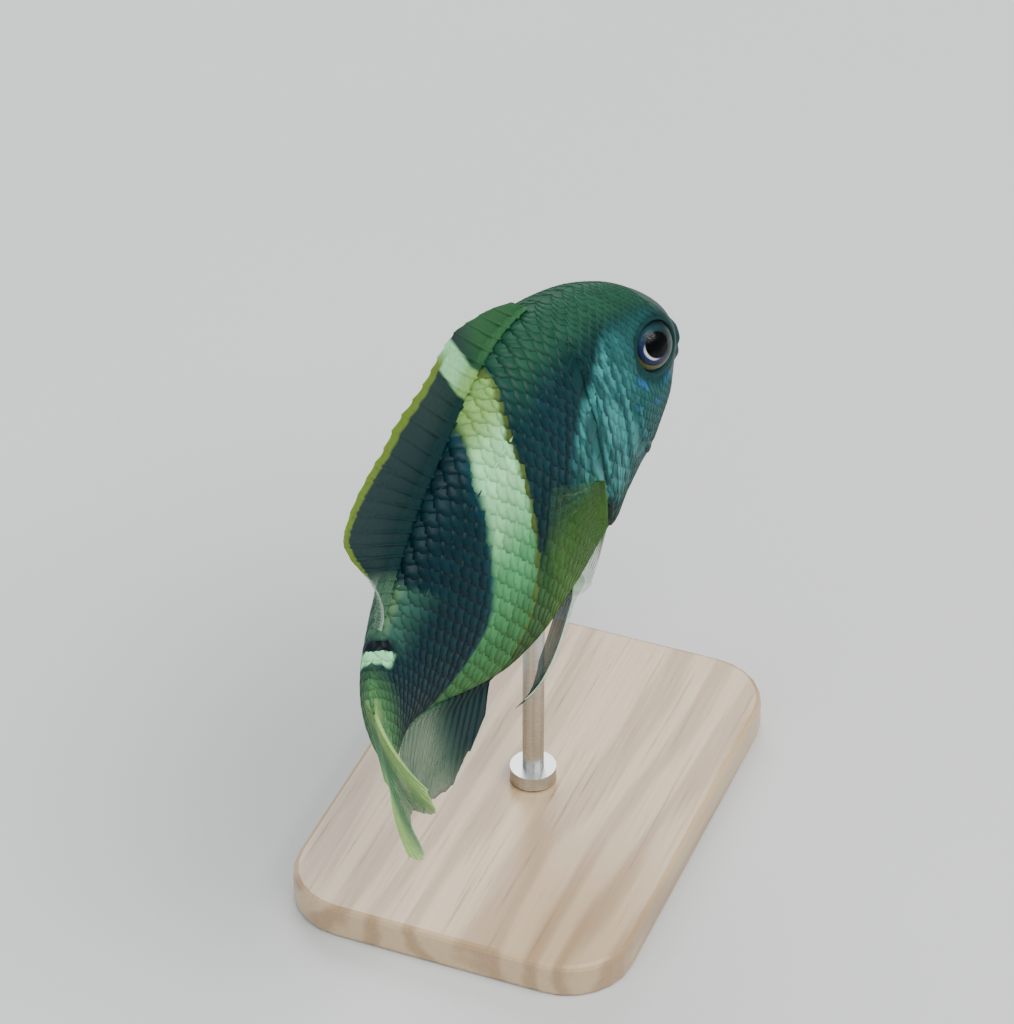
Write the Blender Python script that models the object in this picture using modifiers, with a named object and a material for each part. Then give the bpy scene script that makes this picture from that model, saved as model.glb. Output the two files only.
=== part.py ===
"""Twinspot damselfish: a life-size still model, turning to its right, on a plain display stand.

The body is lofted along a bent spine. A place on the fish is given in body lengths: s runs from
the snout (0) to the root of the tail fin (1), up and right are measured square to the spine, and
t is the angle round the body from the back (0), over the right flank (90), to the belly (180).
Beyond s = 1 the spine carries on through the tail fin. Sizes are in metres, +Z is up, +X ahead.
"""

import math

import bmesh
import bpy
import numpy as np
from mathutils import Matrix, Vector

# Whole fish
BODY_LENGTH = 0.080
GAP = 0.0003
CLEAR = GAP / BODY_LENGTH
PITCH_DEG = 3.5
BANK_DEG = 9.5
REST_S = 0.45

# Places that divide the body
GILL_EDGE_S = 0.312
GILL_FLAP = 0.024
STALK_S = 0.80
TAIL_S = 1.0

# Heading of the spine at stations from snout to tail tip, in degrees to the fish's left
TURN_S = (0.0, 0.125, 0.25, 0.40, 0.55, 0.70, 0.80, 0.90, 1.0, 1.15, 1.30)
TURN_DEG = (-14.7, -14.7, -12.4, -1.1, 2.6, -4.0, -1.5, 11.5, 27.7, 41.2, 53.2)
TAIL_LIFT = 0.032
TAIL_LIFT_FROM = 0.70

# Body outline at stations: height of the back, height of the belly, half width
BODY_S = (0.0, 0.012, 0.03, 0.07, 0.12, 0.20, 0.30, 0.40, 0.50, 0.60, 0.70, 0.80, 0.88, 0.95, 1.0)
BACK_UP = (
    -0.006, 0.030, 0.059, 0.104, 0.144, 0.186, 0.214, 0.223, 0.219, 0.202, 0.171, 0.123, 0.086, 0.075, 0.077
)
BELLY_UP = (
    -0.006, -0.036, -0.056, -0.088, -0.122, -0.168, -0.206, -0.221, -0.219, -0.198, -0.158, -0.109,
    -0.081, -0.073, -0.078
)
HALF_WIDTH = (
    0.0, 0.024, 0.041, 0.063, 0.079, 0.097, 0.105, 0.105, 0.098, 0.084, 0.067, 0.048, 0.035, 0.025, 0.018
)
FLANK_POWER = 0.9

# Head
EYE_S = 0.118
EYE_UP = 0.046
EYE_OUT = 0.055
EYE_RADIUS = 0.043
EYE_DEPTH = 0.040
ORBIT_RADIUS = 0.040
ORBIT_RIM = 0.0050
ORBIT_RIM_WIDTH = 0.0115
CHEEK_S = 0.125
CHEEK_UP = -0.015
CHEEK_RADIUS = 0.093
CHEEK_STEP = 0.0060
COVER_SWELL = 0.0055
LIP_SWELL = 0.0085
LIP_WIDTH = 0.012
LIP_SOFT = 0.010
SNOUT_UP = -0.006
MOUTH_S = 0.042
MOUTH_DROP = 0.019
MOUTH_OPENING = 0.0005
MOUTH_CUT_WIDTH = 0.020
NOSTRIL_S = 0.062
NOSTRIL_UP = 0.050
NOSTRIL_RADIUS = 0.00035
NOSTRIL_DEPTH = 0.0006

# Fins
MEMBRANE = 0.00052
RAY_RIDGE = 0.00036
RAY_HALF_WIDTH = 0.20
DORSAL_SPLIT_S = 0.6620
DORSAL_SPLIT_LEAN = 0.655

# Stand
BASE_SIZE = (0.060, 0.042, 0.0045)
BASE_CORNER = 0.008
BASE_EDGE = 0.0006
ROD_RADIUS = 0.0013
COLLAR_RADIUS = 0.0028
COLLAR_HEIGHT = 0.0018
BELLY_HEIGHT = 0.030

# Rings along and points around each length of the body
HEAD_RINGS = 32
HEAD_AROUND = 48
SNOUT_CROWDING = 1.45
TRUNK_RINGS = 20
TRUNK_AROUND = 40
STALK_RINGS = 8
STALK_AROUND = 28


def smooth_line(stations, values, at):
    """Return a smooth curve through the stations that doesn't overshoot between them."""
    x = np.asarray(stations, float)
    y = np.asarray(values, float)
    slope = np.diff(y) / np.diff(x)
    tangent = np.zeros(len(x))
    same_way = slope[1:] * slope[:-1] > 0
    pair_sum = np.where(same_way, slope[1:] + slope[:-1], 1.0)
    tangent[1:-1] = np.where(same_way, 2.0 * slope[1:] * slope[:-1] / pair_sum, 0.0)
    tangent[0] = slope[0]
    tangent[-1] = slope[-1]
    at = np.clip(np.asarray(at, float), x[0], x[-1])
    k = np.clip(np.searchsorted(x, at, side="right") - 1, 0, len(x) - 2)
    width = x[k + 1] - x[k]
    u = (at - x[k]) / width
    start = (1 + 2 * u) * (1 - u) ** 2 * y[k] + u * (1 - u) ** 2 * width * tangent[k]
    end = u * u * (3 - 2 * u) * y[k + 1] + u * u * (u - 1) * width * tangent[k + 1]
    return start + end


def bump(x, centre, width):
    """Return a smooth hump of height 1 round a centre."""
    return np.exp(-(((np.asarray(x, float) - centre) / width) ** 2))


def smooth_step(x, low, high):
    """Return 0 below low, 1 above high, and an even ramp between them."""
    u = np.clip((np.asarray(x, float) - low) / (high - low), 0.0, 1.0)
    return u * u * (3 - 2 * u)


def heading(s):
    """Return the spine's heading in radians to the fish's left."""
    return np.radians(smooth_line(TURN_S, TURN_DEG, s))


def spine_line():
    """Return the stations along the spine and its places, in body lengths from the middle."""
    step = 0.005
    s = np.arange(0.0, TURN_S[-1] + step / 2, step)
    angle = heading(s)
    ahead = np.stack([np.cos(angle), np.sin(angle)], axis=1)
    moves = -(ahead[1:] + ahead[:-1]) / 2 * step
    places = np.vstack([[0.0, 0.0], np.cumsum(moves, axis=0)])
    middle = np.searchsorted(s, 0.5)
    return s, places - places[middle]


SPINE_S, SPINE_XY = spine_line()
PITCH = Matrix.Rotation(-math.radians(PITCH_DEG), 3, "Y")
BANK = Matrix.Rotation(-math.radians(BANK_DEG), 3, "X")
POSE = PITCH @ BANK


def back(s):
    """Return the height of the back above the spine, in body lengths."""
    return smooth_line(np.sqrt(BODY_S), BACK_UP, np.sqrt(np.clip(s, 0, 1)))


def belly(s):
    """Return the height of the belly line, in body lengths."""
    return smooth_line(np.sqrt(BODY_S), BELLY_UP, np.sqrt(np.clip(s, 0, 1)))


def half_width(s):
    """Return half the body's width, in body lengths."""
    return smooth_line(np.sqrt(BODY_S), HALF_WIDTH, np.sqrt(np.clip(s, 0, 1)))


def unplaced(s, up, right):
    """Return places in metres, level and with the middle of the spine at the origin."""
    s, up, right = np.broadcast_arrays(np.asarray(s, float), up, right)
    angle = heading(s)
    x = np.interp(s, SPINE_S, SPINE_XY[:, 0]) + right * np.sin(angle)
    y = np.interp(s, SPINE_S, SPINE_XY[:, 1]) - right * np.cos(angle)
    lift = np.clip((s - TAIL_LIFT_FROM) / (SPINE_S[-1] - TAIL_LIFT_FROM), 0, 1) ** 2 * TAIL_LIFT
    return np.stack([x, y, up + lift], axis=-1) * BODY_LENGTH


def place(s, up, right):
    """Return world places of points on the posed fish."""
    turned = unplaced(s, up, right) @ np.array(POSE).T
    return turned + FISH_SHIFT


REST_POINT = unplaced(REST_S, belly(REST_S), 0.0) @ np.array(POSE).T
FISH_SHIFT = np.array([0.0, 0.0, BELLY_HEIGHT]) - REST_POINT


def flank(s, t, proud=0.0):
    """Return up and right of the body's surface at an angle round it, raised by proud."""
    middle = (back(s) + belly(s)) / 2
    height = (back(s) - belly(s)) / 2 + proud
    width = half_width(s) + proud
    side = np.sign(np.sin(t)) * np.abs(np.sin(t)) ** FLANK_POWER
    return middle + height * np.cos(t), width * side


def flank_at(s, up):
    """Return how far right the flank stands at a height above the spine."""
    middle = (back(s) + belly(s)) / 2
    height = (back(s) - belly(s)) / 2
    cosine = np.clip((up - middle) / height, -1, 1)
    return half_width(s) * np.sqrt(1 - cosine**2) ** FLANK_POWER


def belly_at(s, right):
    """Return the height of the under side at a distance from the middle."""
    middle = (back(s) + belly(s)) / 2
    height = (back(s) - belly(s)) / 2
    sine = np.clip(np.abs(right) / half_width(s), 0, 1) ** (1 / FLANK_POWER)
    return middle - height * np.sqrt(1 - sine**2)


def gill_edge(t):
    """Return the station of the gill cover's rear edge at an angle round the body."""
    around = np.degrees(np.abs(np.arctan2(np.sin(t), np.cos(t))))
    flap = GILL_FLAP * bump(around, 92.0, 34.0)
    throat = 0.075 * smooth_step(around, 125.0, 180.0)
    return GILL_EDGE_S + flap - throat


def orbit_rim(s, up):
    """Return the raised ring round the eye."""
    from_eye = np.hypot(s - EYE_S, up - EYE_UP)
    return ORBIT_RIM * bump(from_eye, ORBIT_RADIUS, ORBIT_RIM_WIDTH)


def lips(s, up):
    """Return the two lips, one above and one below the line of the mouth."""
    mouth_up = SNOUT_UP - MOUTH_DROP * s / MOUTH_S
    upper = bump(up - mouth_up, LIP_WIDTH, LIP_SOFT)
    lower = bump(up - mouth_up, -LIP_WIDTH, LIP_SOFT)
    from_tip = smooth_step(s, 0.0, LIP_WIDTH)
    to_corner = 1 - smooth_step(s, MOUTH_S * 0.55, MOUTH_S * 1.1)
    return LIP_SWELL * from_tip * to_corner * (upper + lower)


def cheek(s, up, t):
    """Return the cheek, which ends behind and below in the step of the preopercle."""
    from_middle = np.hypot(s - CHEEK_S, (up - CHEEK_UP) * 0.85)
    inside = 1 - smooth_step(from_middle, CHEEK_RADIUS - 0.005, CHEEK_RADIUS + 0.005)
    low = smooth_step(-up, -0.05, 0.02)
    behind_snout = smooth_step(s, 0.05, 0.1)
    off_throat = smooth_step(np.abs(np.sin(t)), 0.05, 0.4)
    return CHEEK_STEP * inside * low * behind_snout * off_throat


def gill_cover(s, t):
    """Return the swell of the gill cover, which rounds down to its rear edge."""
    ahead = gill_edge(t) - s
    plate = smooth_step(ahead, 0.0, 0.014) * (1 - smooth_step(ahead, 0.02, 0.07))
    sideways = smooth_step(np.abs(np.sin(t)), 0.25, 0.7)
    return COVER_SWELL * plate * sideways


def head_relief(s, t):
    """Return how far the head's forms stand proud of its plain oval."""
    up, _ = flank(s, t)
    return orbit_rim(s, up) + lips(s, up) + cheek(s, up, t) + gill_cover(s, t)


def no_relief(s, t):
    """Return no relief, for the plain lengths of the body."""
    return np.zeros(len(t))


def edge_at(s):
    """Return an edge square to the spine at one station."""
    return lambda t: np.full(len(t), s)


def new_mesh_object(name, points, faces, home):
    """Return an object of the given points and faces, with its faces turned outward."""
    mesh = bpy.data.meshes.new(name)
    mesh.from_pydata([tuple(p) for p in points], [], [tuple(f) for f in faces])
    shape = bmesh.new()
    shape.from_mesh(mesh)
    bmesh.ops.recalc_face_normals(shape, faces=shape.faces)
    if shape.calc_volume(signed=True) < 0:
        bmesh.ops.reverse_faces(shape, faces=shape.faces)
    shape.to_mesh(mesh)
    shape.free()
    obj = bpy.data.objects.new(name, mesh)
    home.objects.link(obj)
    return obj


def lofted(name, front, rear, rings, around, home, relief=no_relief, crowding=1.0, proud=0.0):
    """Return a closed length of the body between two edges; a front of None ends in the snout."""
    angles = np.arange(around) * 2 * math.pi / around
    points = []
    snout = front is None
    first = np.zeros(around) if snout else front(angles)
    last = rear(angles)
    for ring in range(1 if snout else 0, rings + 1):
        share = (ring / rings) ** crowding
        s = first + (last - first) * share
        up, right = flank(s, angles, proud)
        rise = relief(s, angles)
        points.extend(place(s, up + rise * np.cos(angles), right + rise * np.sin(angles)))
    ring_count = len(points) // around
    faces = []
    for ring in range(ring_count - 1):
        for k in range(around):
            a = ring * around + k
            b = ring * around + (k + 1) % around
            faces.append((a, b, b + around, a + around))
    ends = ((0, float(first.mean())), (ring_count - 1, float(last.mean())))
    for ring, s in ends:
        points.append(place(s, (back(s) + belly(s)) / 2, 0.0))
        hub = len(points) - 1
        for k in range(around):
            a = ring * around + k
            b = ring * around + (k + 1) % around
            faces.append((a, b, hub))
    return new_mesh_object(name, points, faces, home)


def finish(obj, colour, roughness, metallic=0.0, crease_deg=50.0):
    """Give an object its own material and smooth shading with sharp creases."""
    material = bpy.data.materials.new(obj.name)
    material.use_nodes = True
    shader = material.node_tree.nodes["Principled BSDF"]
    shader.inputs["Base Color"].default_value = (*colour, 1.0)
    shader.inputs["Roughness"].default_value = roughness
    shader.inputs["Metallic"].default_value = metallic
    obj.data.materials.clear()
    obj.data.materials.append(material)
    obj.data.shade_smooth()
    obj.data.set_sharp_from_angle(angle=math.radians(crease_deg))
    return obj


def cut(obj, cutter):
    """Cut one object out of another with a Boolean that stays on it."""
    modifier = obj.modifiers.new("Cut " + cutter.name, "BOOLEAN")
    modifier.operation = "DIFFERENCE"
    modifier.solver = "EXACT"
    modifier.object = cutter
    cutter.hide_render = True
    cutter.display_type = "WIRE"


def local_frame(s, up, right):
    """Return a matrix at a place on the fish whose axes run ahead, to its left and up."""
    angle = float(heading(s))
    axes = POSE @ Matrix.Rotation(angle, 3, "Z")
    return Matrix.Translation(Vector(place(s, up, right))) @ axes.to_4x4()


def primitive(name, home, make, matrix):
    """Return an object of a bmesh primitive whose shape is turned and moved by a matrix."""
    shape = bmesh.new()
    make(shape)
    bmesh.ops.transform(shape, matrix=matrix, verts=shape.verts)
    mesh = bpy.data.meshes.new(name)
    shape.to_mesh(mesh)
    shape.free()
    obj = bpy.data.objects.new(name, mesh)
    home.objects.link(obj)
    return obj


def ball(radius, segments, rings):
    """Return a maker of a sphere."""
    return lambda shape: bmesh.ops.create_uvsphere(
        shape, u_segments=segments, v_segments=rings, radius=radius
    )


def rod(radius, length, segments):
    """Return a maker of a closed cylinder along Z, centred on the origin."""
    return lambda shape: bmesh.ops.create_cone(
        shape, cap_ends=True, segments=segments, radius1=radius, radius2=radius, depth=length
    )


def block():
    """Return a maker of a cube one metre across."""
    return lambda shape: bmesh.ops.create_cube(shape, size=1.0)


def fin(name, home, ray_count, path, rows=7, notch=0.05, root_thickness=0.0016, root_side=None):
    """Return a closed fin whose rays are ridges raised in both faces of its membrane.

    path(f, x) gives s, up and right for a share f along the root and x out along a ray. The
    membrane falls short of the ray tips by notch. Both faces are split into triangles alike.
    """
    shares = []
    is_ray = []
    pitch = 1.0 / (ray_count - 1)
    for ray in range(ray_count):
        centre = ray * pitch
        offsets = (-RAY_HALF_WIDTH, 0.0, RAY_HALF_WIDTH)
        for offset in offsets:
            share = centre + offset * pitch
            if -1e-9 <= share <= 1 + 1e-9:
                shares.append(min(max(share, 0.0), 1.0))
                is_ray.append(offset == 0.0)
    columns = len(shares)
    out = np.linspace(0.0, 1.0, rows + 1)
    middle = np.zeros((columns, rows + 1, 3))
    whole = np.zeros((columns, rows + 1, 3))
    for c, f in enumerate(shares):
        trim = 1.0 if is_ray[c] else 1.0 - notch
        middle[c] = place(*path(f, out * trim))
        whole[c] = place(*path(f, out))
    along = np.gradient(whole, shares, axis=0)
    outward = np.gradient(whole, axis=1)
    normal = np.cross(along, outward)
    normal /= np.linalg.norm(normal, axis=2, keepdims=True)
    if root_side is not None:
        normal[:, 0] = root_side * np.sign(np.sum(normal[:, 1] * root_side))
    thickness = np.zeros((columns, rows + 1))
    for c in range(columns):
        ridge = RAY_RIDGE * (1.0 - 0.6 * out) * smooth_step(out, 0.0, 0.25) if is_ray[c] else 0.0
        root = (root_thickness - MEMBRANE) * (1 - smooth_step(out, 0.0, 0.28))
        thickness[c] = MEMBRANE + ridge + root
    front = middle + normal * thickness[..., None] / 2
    rear = middle - normal * thickness[..., None] / 2
    points = np.concatenate([front.reshape(-1, 3), rear.reshape(-1, 3)])
    half = columns * (rows + 1)
    faces = []
    for c in range(columns - 1):
        for r in range(rows):
            a = c * (rows + 1) + r
            b = a + rows + 1
            for tri in ((a, b, b + 1), (a, b + 1, a + 1)):
                faces.append(tri)
                faces.append(tuple(v + half for v in reversed(tri)))
        for r in (0, rows):
            a = c * (rows + 1) + r
            b = a + rows + 1
            faces.append((a, b, b + half, a + half))
    for c in (0, columns - 1):
        for r in range(rows):
            a = c * (rows + 1) + r
            faces.append((a, a + 1, a + 1 + half, a + half))
    return new_mesh_object(name, points, faces, home)


def side_name(side):
    """Return the word for a side: 1 is right and -1 left."""
    return "right" if side > 0 else "left"


def ahead_at(s):
    """Return the world direction ahead along the spine at a station."""
    return np.array(local_frame(s, 0.0, 0.0).to_3x3() @ Vector((1.0, 0.0, 0.0)))


def blend(f, stations, values):
    """Return a straight-line blend between values at stations."""
    return np.interp(f, stations, values)


def spiny_dorsal(home):
    """Return the front dorsal fin, thirteen spines with the membrane dropping behind each."""
    first, last = 0.30, DORSAL_SPLIT_S
    stations = (0.0, 0.12, 0.3, 1.0)
    lengths = (0.050, 0.085, 0.120, 0.143)
    leans = (0.78, 0.77, 0.74, DORSAL_SPLIT_LEAN)

    def path(f, x):
        s = first + (last - first) * f
        reach = blend(f, stations, lengths) * x
        lean = blend(f, stations, leans)
        return s + reach * math.sin(lean), back(s) + CLEAR + reach * math.cos(lean), 0.0 * x

    return fin("dorsal_fin_spiny", home, 13, path, rows=6, notch=0.08)


def soft_dorsal(home):
    """Return the rear dorsal fin: drawn out to a point, its last rays short and leaning right."""
    first, last = DORSAL_SPLIT_S + 1.3 * CLEAR, 0.872
    stations = (0.0, 0.2, 0.42, 0.55, 0.7, 1.0)
    lengths = (0.143, 0.172, 0.205, 0.160, 0.112, 0.068)
    leans = (DORSAL_SPLIT_LEAN, 0.80, 0.95, 0.97, 0.96, 0.95)
    last_tilt = math.radians(34.0)

    def path(f, x):
        s = first + (last - first) * f
        reach = blend(f, stations, lengths) * x
        lean = blend(f, stations, leans)
        tilt = last_tilt * float(smooth_step(f, 0.45, 0.95))
        rise = math.cos(lean) * reach
        drop = rise * x * (1 - math.cos(tilt))
        return s + reach * math.sin(lean), back(s) + CLEAR + rise - drop, rise * x * math.sin(tilt)

    return fin("dorsal_fin_soft", home, 13, path, rows=7, notch=0.035)


def anal(home):
    """Return the anal fin, two spines and thirteen soft rays, with a rounded point."""
    first, last = 0.625, 0.868
    stations = (0.0, 0.07, 0.2, 0.5, 0.75, 1.0)
    lengths = (0.060, 0.105, 0.142, 0.165, 0.120, 0.062)
    leans = (0.75, 0.78, 0.83, 0.95, 0.95, 0.95)

    def path(f, x):
        s = first + (last - first) * f
        reach = blend(f, stations, lengths) * x
        lean = blend(f, stations, leans)
        return s + reach * math.sin(lean), belly(s) - CLEAR - reach * math.cos(lean), 0.0 * x

    return fin("anal_fin", home, 15, path, rows=7, notch=0.035)


def tail_fin(home):
    """Return the tail fin, half closed, with two rounded lobes and a slight twist."""
    root_half = 0.068
    tip_half = 0.052
    fork_length = 0.182
    lobe_length = 0.062
    twist = 0.024

    def path(f, x):
        across = 2 * f - 1
        out = abs(across)
        lobe = float(smooth_step(out, 0.0, 0.62) - 0.55 * smooth_step(out, 0.72, 1.0))
        reach = fork_length + lobe_length * lobe
        tip_up = tip_half * across * (1 + 0.12 * math.cos(across * math.pi))
        up = root_half * across + (tip_up - root_half * across) * x
        return TAIL_S + CLEAR + reach * x, up, twist * across * x**1.4

    return fin("tail_fin", home, 17, path, rows=8, notch=0.02, root_thickness=0.0022)


def pectoral(home, side):
    """Return one pectoral fin: it rises off the flank, then lies back along it, spread."""
    root_s = 0.366
    top, bottom = -0.026, -0.092
    top_ray, bottom_ray = math.radians(32.0), math.radians(-38.0)
    stations = (0.0, 0.25, 0.6, 1.0)
    lengths = (0.200, 0.225, 0.185, 0.110)
    root_rise, tip_rise = 0.0095, 0.004
    hug = 0.6

    def path(f, x):
        up_root = top + (bottom - top) * f
        fan = top_ray + (bottom_ray - top_ray) * f
        reach = blend(f, stations, lengths) * x
        s = root_s + reach * math.cos(fan)
        up = up_root + reach * math.sin(fan)
        root_right = flank_at(root_s, up_root)
        along_flank = hug * (flank_at(s, up) - root_right)
        rise = root_rise * smooth_step(x, 0.0, 0.16) + tip_rise * x
        return s, up, side * (root_right + along_flank + CLEAR + rise)

    name = "pectoral_fin_" + side_name(side)
    return fin(
        name, home, 11, path, rows=6, notch=0.03, root_thickness=0.0012, root_side=ahead_at(root_s)
    )


def pelvic(home, side):
    """Return one pelvic fin, folded back under the belly, its outer ray drawn out."""
    root_s, root_span = 0.385, 0.012
    root_right, root_narrowing = 0.052, 0.027
    stations = (0.0, 0.2, 1.0)
    lengths = (0.252, 0.272, 0.135)
    outer_dip, inner_dip = 0.044, 0.022
    outer_spread, inner_spread = 0.004, 0.016

    def path(f, x):
        s = root_s + root_span * f
        right = root_right - root_narrowing * f
        dip = outer_dip + (inner_dip - outer_dip) * f
        spread = outer_spread + (inner_spread - outer_spread) * f
        reach = blend(f, stations, lengths) * x
        up = belly_at(s, right) - CLEAR - dip * np.sin(math.pi * 0.9 * reach / max(lengths))
        return s + reach, up, side * (right + spread * reach / max(lengths))

    name = "pelvic_fin_" + side_name(side)
    return fin(
        name, home, 6, path, rows=7, notch=0.03, root_thickness=0.0010, root_side=ahead_at(root_s)
    )


def eye_shape(spare):
    """Return a matrix that turns a unit ball into the flattened eyeball, larger by spare."""
    radius = EYE_RADIUS * BODY_LENGTH + spare
    depth = EYE_DEPTH * BODY_LENGTH + spare
    return Matrix.Rotation(math.pi / 2, 4, "X") @ Matrix.Diagonal((radius, radius, depth, 1.0))


def head(home, cutters):
    """Return the head, with sockets for the eyes, the cut of the mouth and the nostrils."""
    obj = lofted(
        "head", None, lambda t: gill_edge(t) - CLEAR, HEAD_RINGS, HEAD_AROUND, home,
        relief=head_relief, crowding=SNOUT_CROWDING,
    )
    slope = Matrix.Rotation(-math.atan2(MOUTH_DROP, MOUTH_S), 4, "Y")
    depth = math.hypot(MOUTH_S, MOUTH_DROP) * BODY_LENGTH
    size = Matrix.Diagonal((2 * depth, MOUTH_CUT_WIDTH, MOUTH_OPENING, 1.0))
    mouth = local_frame(0.0, SNOUT_UP, 0.0) @ slope @ size
    cut(obj, primitive("mouth_cutter", cutters, block(), mouth))
    for side in (1, -1):
        label = side_name(side)
        hollow = local_frame(EYE_S, EYE_UP, side * EYE_OUT) @ eye_shape(GAP)
        cut(obj, primitive("socket_cutter_" + label, cutters, ball(1.0, 32, 18), hollow))
        out = float(flank_at(NOSTRIL_S, NOSTRIL_UP))
        bore = local_frame(NOSTRIL_S, NOSTRIL_UP, side * out) @ Matrix.Rotation(math.pi / 2, 4, "X")
        drill = rod(NOSTRIL_RADIUS, 2 * NOSTRIL_DEPTH, 10)
        cut(obj, primitive("nostril_cutter_" + label, cutters, drill, bore))
    return obj


def eye(home, side):
    """Return one eyeball, seated in its socket with the gap round it."""
    seat = local_frame(EYE_S, EYE_UP, side * EYE_OUT) @ eye_shape(0.0)
    return primitive("eye_" + side_name(side), home, ball(1.0, 24, 12), seat)


def stand_base(home):
    """Return the flat base, with round corners and a soft edge."""
    length, width, height = BASE_SIZE
    matrix = Matrix.Translation((0.0, 0.0, height / 2)) @ Matrix.Diagonal((length, width, height, 1.0))
    obj = primitive("stand_base", home, block(), matrix)
    shape = bmesh.new()
    shape.from_mesh(obj.data)
    upright = [e for e in shape.edges if abs(e.verts[0].co.z - e.verts[1].co.z) > height / 2]
    bmesh.ops.bevel(
        shape, geom=upright, offset=BASE_CORNER, segments=6, profile=0.5, affect="EDGES"
    )
    shape.to_mesh(obj.data)
    shape.free()
    edge = obj.modifiers.new("Soft edge", "BEVEL")
    edge.width = BASE_EDGE
    edge.segments = 2
    edge.limit_method = "ANGLE"
    edge.angle_limit = math.radians(60)
    return obj


def stand_rod(home, cutters):
    """Return the rod with its foot collar; its top is shaped to the belly."""
    foot = BASE_SIZE[2] + GAP
    top = BELLY_HEIGHT + 0.002
    upright = Matrix.Translation((0.0, 0.0, (foot + top) / 2))
    obj = primitive("stand_rod", home, rod(ROD_RADIUS, top - foot, 24), upright)
    ring = Matrix.Translation((0.0, 0.0, foot + COLLAR_HEIGHT / 2))
    collar = primitive("collar_piece", cutters, rod(COLLAR_RADIUS, COLLAR_HEIGHT, 24), ring)
    collar.hide_render = True
    collar.display_type = "WIRE"
    join = obj.modifiers.new("Join collar", "BOOLEAN")
    join.operation = "UNION"
    join.solver = "EXACT"
    join.object = collar
    belly_room = lofted(
        "belly_room", edge_at(REST_S - 0.07), edge_at(REST_S + 0.07), 8, TRUNK_AROUND, cutters,
        proud=CLEAR,
    )
    cut(obj, belly_room)
    return obj


def main():
    """Build the fish and its stand."""
    for old in list(bpy.data.objects):
        bpy.data.objects.remove(old, do_unlink=True)
    parts = bpy.data.collections.new("twinspot_damselfish")
    cutters = bpy.data.collections.new("cutters")
    bpy.context.scene.collection.children.link(parts)
    bpy.context.scene.collection.children.link(cutters)

    finish(head(parts, cutters), (0.16, 0.20, 0.17), 0.45)
    trunk = lofted(
        "trunk", gill_edge, edge_at(STALK_S - CLEAR), TRUNK_RINGS, TRUNK_AROUND, parts
    )
    finish(trunk, (0.035, 0.035, 0.045), 0.45)
    stalk = lofted(
        "tail_stalk", edge_at(STALK_S), edge_at(TAIL_S), STALK_RINGS, STALK_AROUND, parts
    )
    finish(stalk, (0.10, 0.09, 0.07), 0.45)
    finish(spiny_dorsal(parts), (0.10, 0.09, 0.03), 0.5)
    finish(soft_dorsal(parts), (0.06, 0.06, 0.05), 0.5)
    finish(anal(parts), (0.09, 0.10, 0.08), 0.5)
    finish(tail_fin(parts), (0.45, 0.44, 0.30), 0.5)
    for side in (1, -1):
        finish(pectoral(parts, side), (0.42, 0.44, 0.16), 0.5)
        finish(pelvic(parts, side), (0.35, 0.38, 0.38), 0.5)
        finish(eye(parts, side), (0.02, 0.02, 0.03), 0.1)
    finish(stand_base(parts), (0.50, 0.36, 0.22), 0.35, crease_deg=35.0)
    finish(stand_rod(parts, cutters), (0.55, 0.55, 0.55), 0.3, metallic=1.0)


main()
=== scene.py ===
"""Looks of the twinspot damselfish model: skin, scales, fins, eyes, stand, floor and light.

A place on the fish is given in body lengths: s runs from the snout (0) to the root of the tail
fin (1), up and right are measured square to the bent spine, and t is the angle round the body
from the back (0), over the right flank (90 degrees), to the belly (180).
"""

from __future__ import annotations

import logging
import math
from collections.abc import Callable, Sequence
from dataclasses import dataclass, field
from enum import Enum

import bpy
import numpy as np
from mathutils import Matrix, Vector


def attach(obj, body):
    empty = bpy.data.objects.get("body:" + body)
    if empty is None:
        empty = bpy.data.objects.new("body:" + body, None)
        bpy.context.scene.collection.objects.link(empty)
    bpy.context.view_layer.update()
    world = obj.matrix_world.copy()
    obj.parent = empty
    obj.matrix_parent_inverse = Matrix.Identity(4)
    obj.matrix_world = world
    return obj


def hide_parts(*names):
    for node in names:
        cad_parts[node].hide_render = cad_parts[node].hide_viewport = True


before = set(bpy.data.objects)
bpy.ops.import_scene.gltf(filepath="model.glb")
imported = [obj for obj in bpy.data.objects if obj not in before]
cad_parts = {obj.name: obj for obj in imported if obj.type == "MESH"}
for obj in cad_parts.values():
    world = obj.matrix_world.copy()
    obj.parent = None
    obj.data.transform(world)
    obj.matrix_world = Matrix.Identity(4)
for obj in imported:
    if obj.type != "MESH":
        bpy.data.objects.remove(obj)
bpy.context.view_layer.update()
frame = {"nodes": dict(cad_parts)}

log = logging.getLogger("damselfish")
Array = np.ndarray
Colour = tuple[float, float, float]
Socket = bpy.types.NodeSocket

BODY = "root"
UNWRAP = "OFBake"
PATCH = 0.003


class Side(Enum):
    """A side of the fish."""

    RIGHT = 1
    LEFT = -1

    @property
    def word(self) -> str:
        """Return the side's name in small letters."""
        return self.name.lower()


class Web(Enum):
    """How a fin's web is coloured."""

    DORSAL = "dorsal"
    ANAL = "anal"
    TAIL = "tail"
    PECTORAL = "pectoral"
    PELVIC = "pelvic"


# Shape helpers


def smooth_step(x: Array | float, low: float, high: float) -> Array:
    """Return 0 below low, 1 above high, and an even ramp between them."""
    u = np.clip((np.asarray(x, float) - low) / (high - low), 0.0, 1.0)
    return u * u * (3 - 2 * u)


def bump(x: Array | float, centre: float, width: float) -> Array:
    """Return a smooth hump of height 1 round a centre."""
    return np.exp(-(((np.asarray(x, float) - centre) / width) ** 2))


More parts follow.
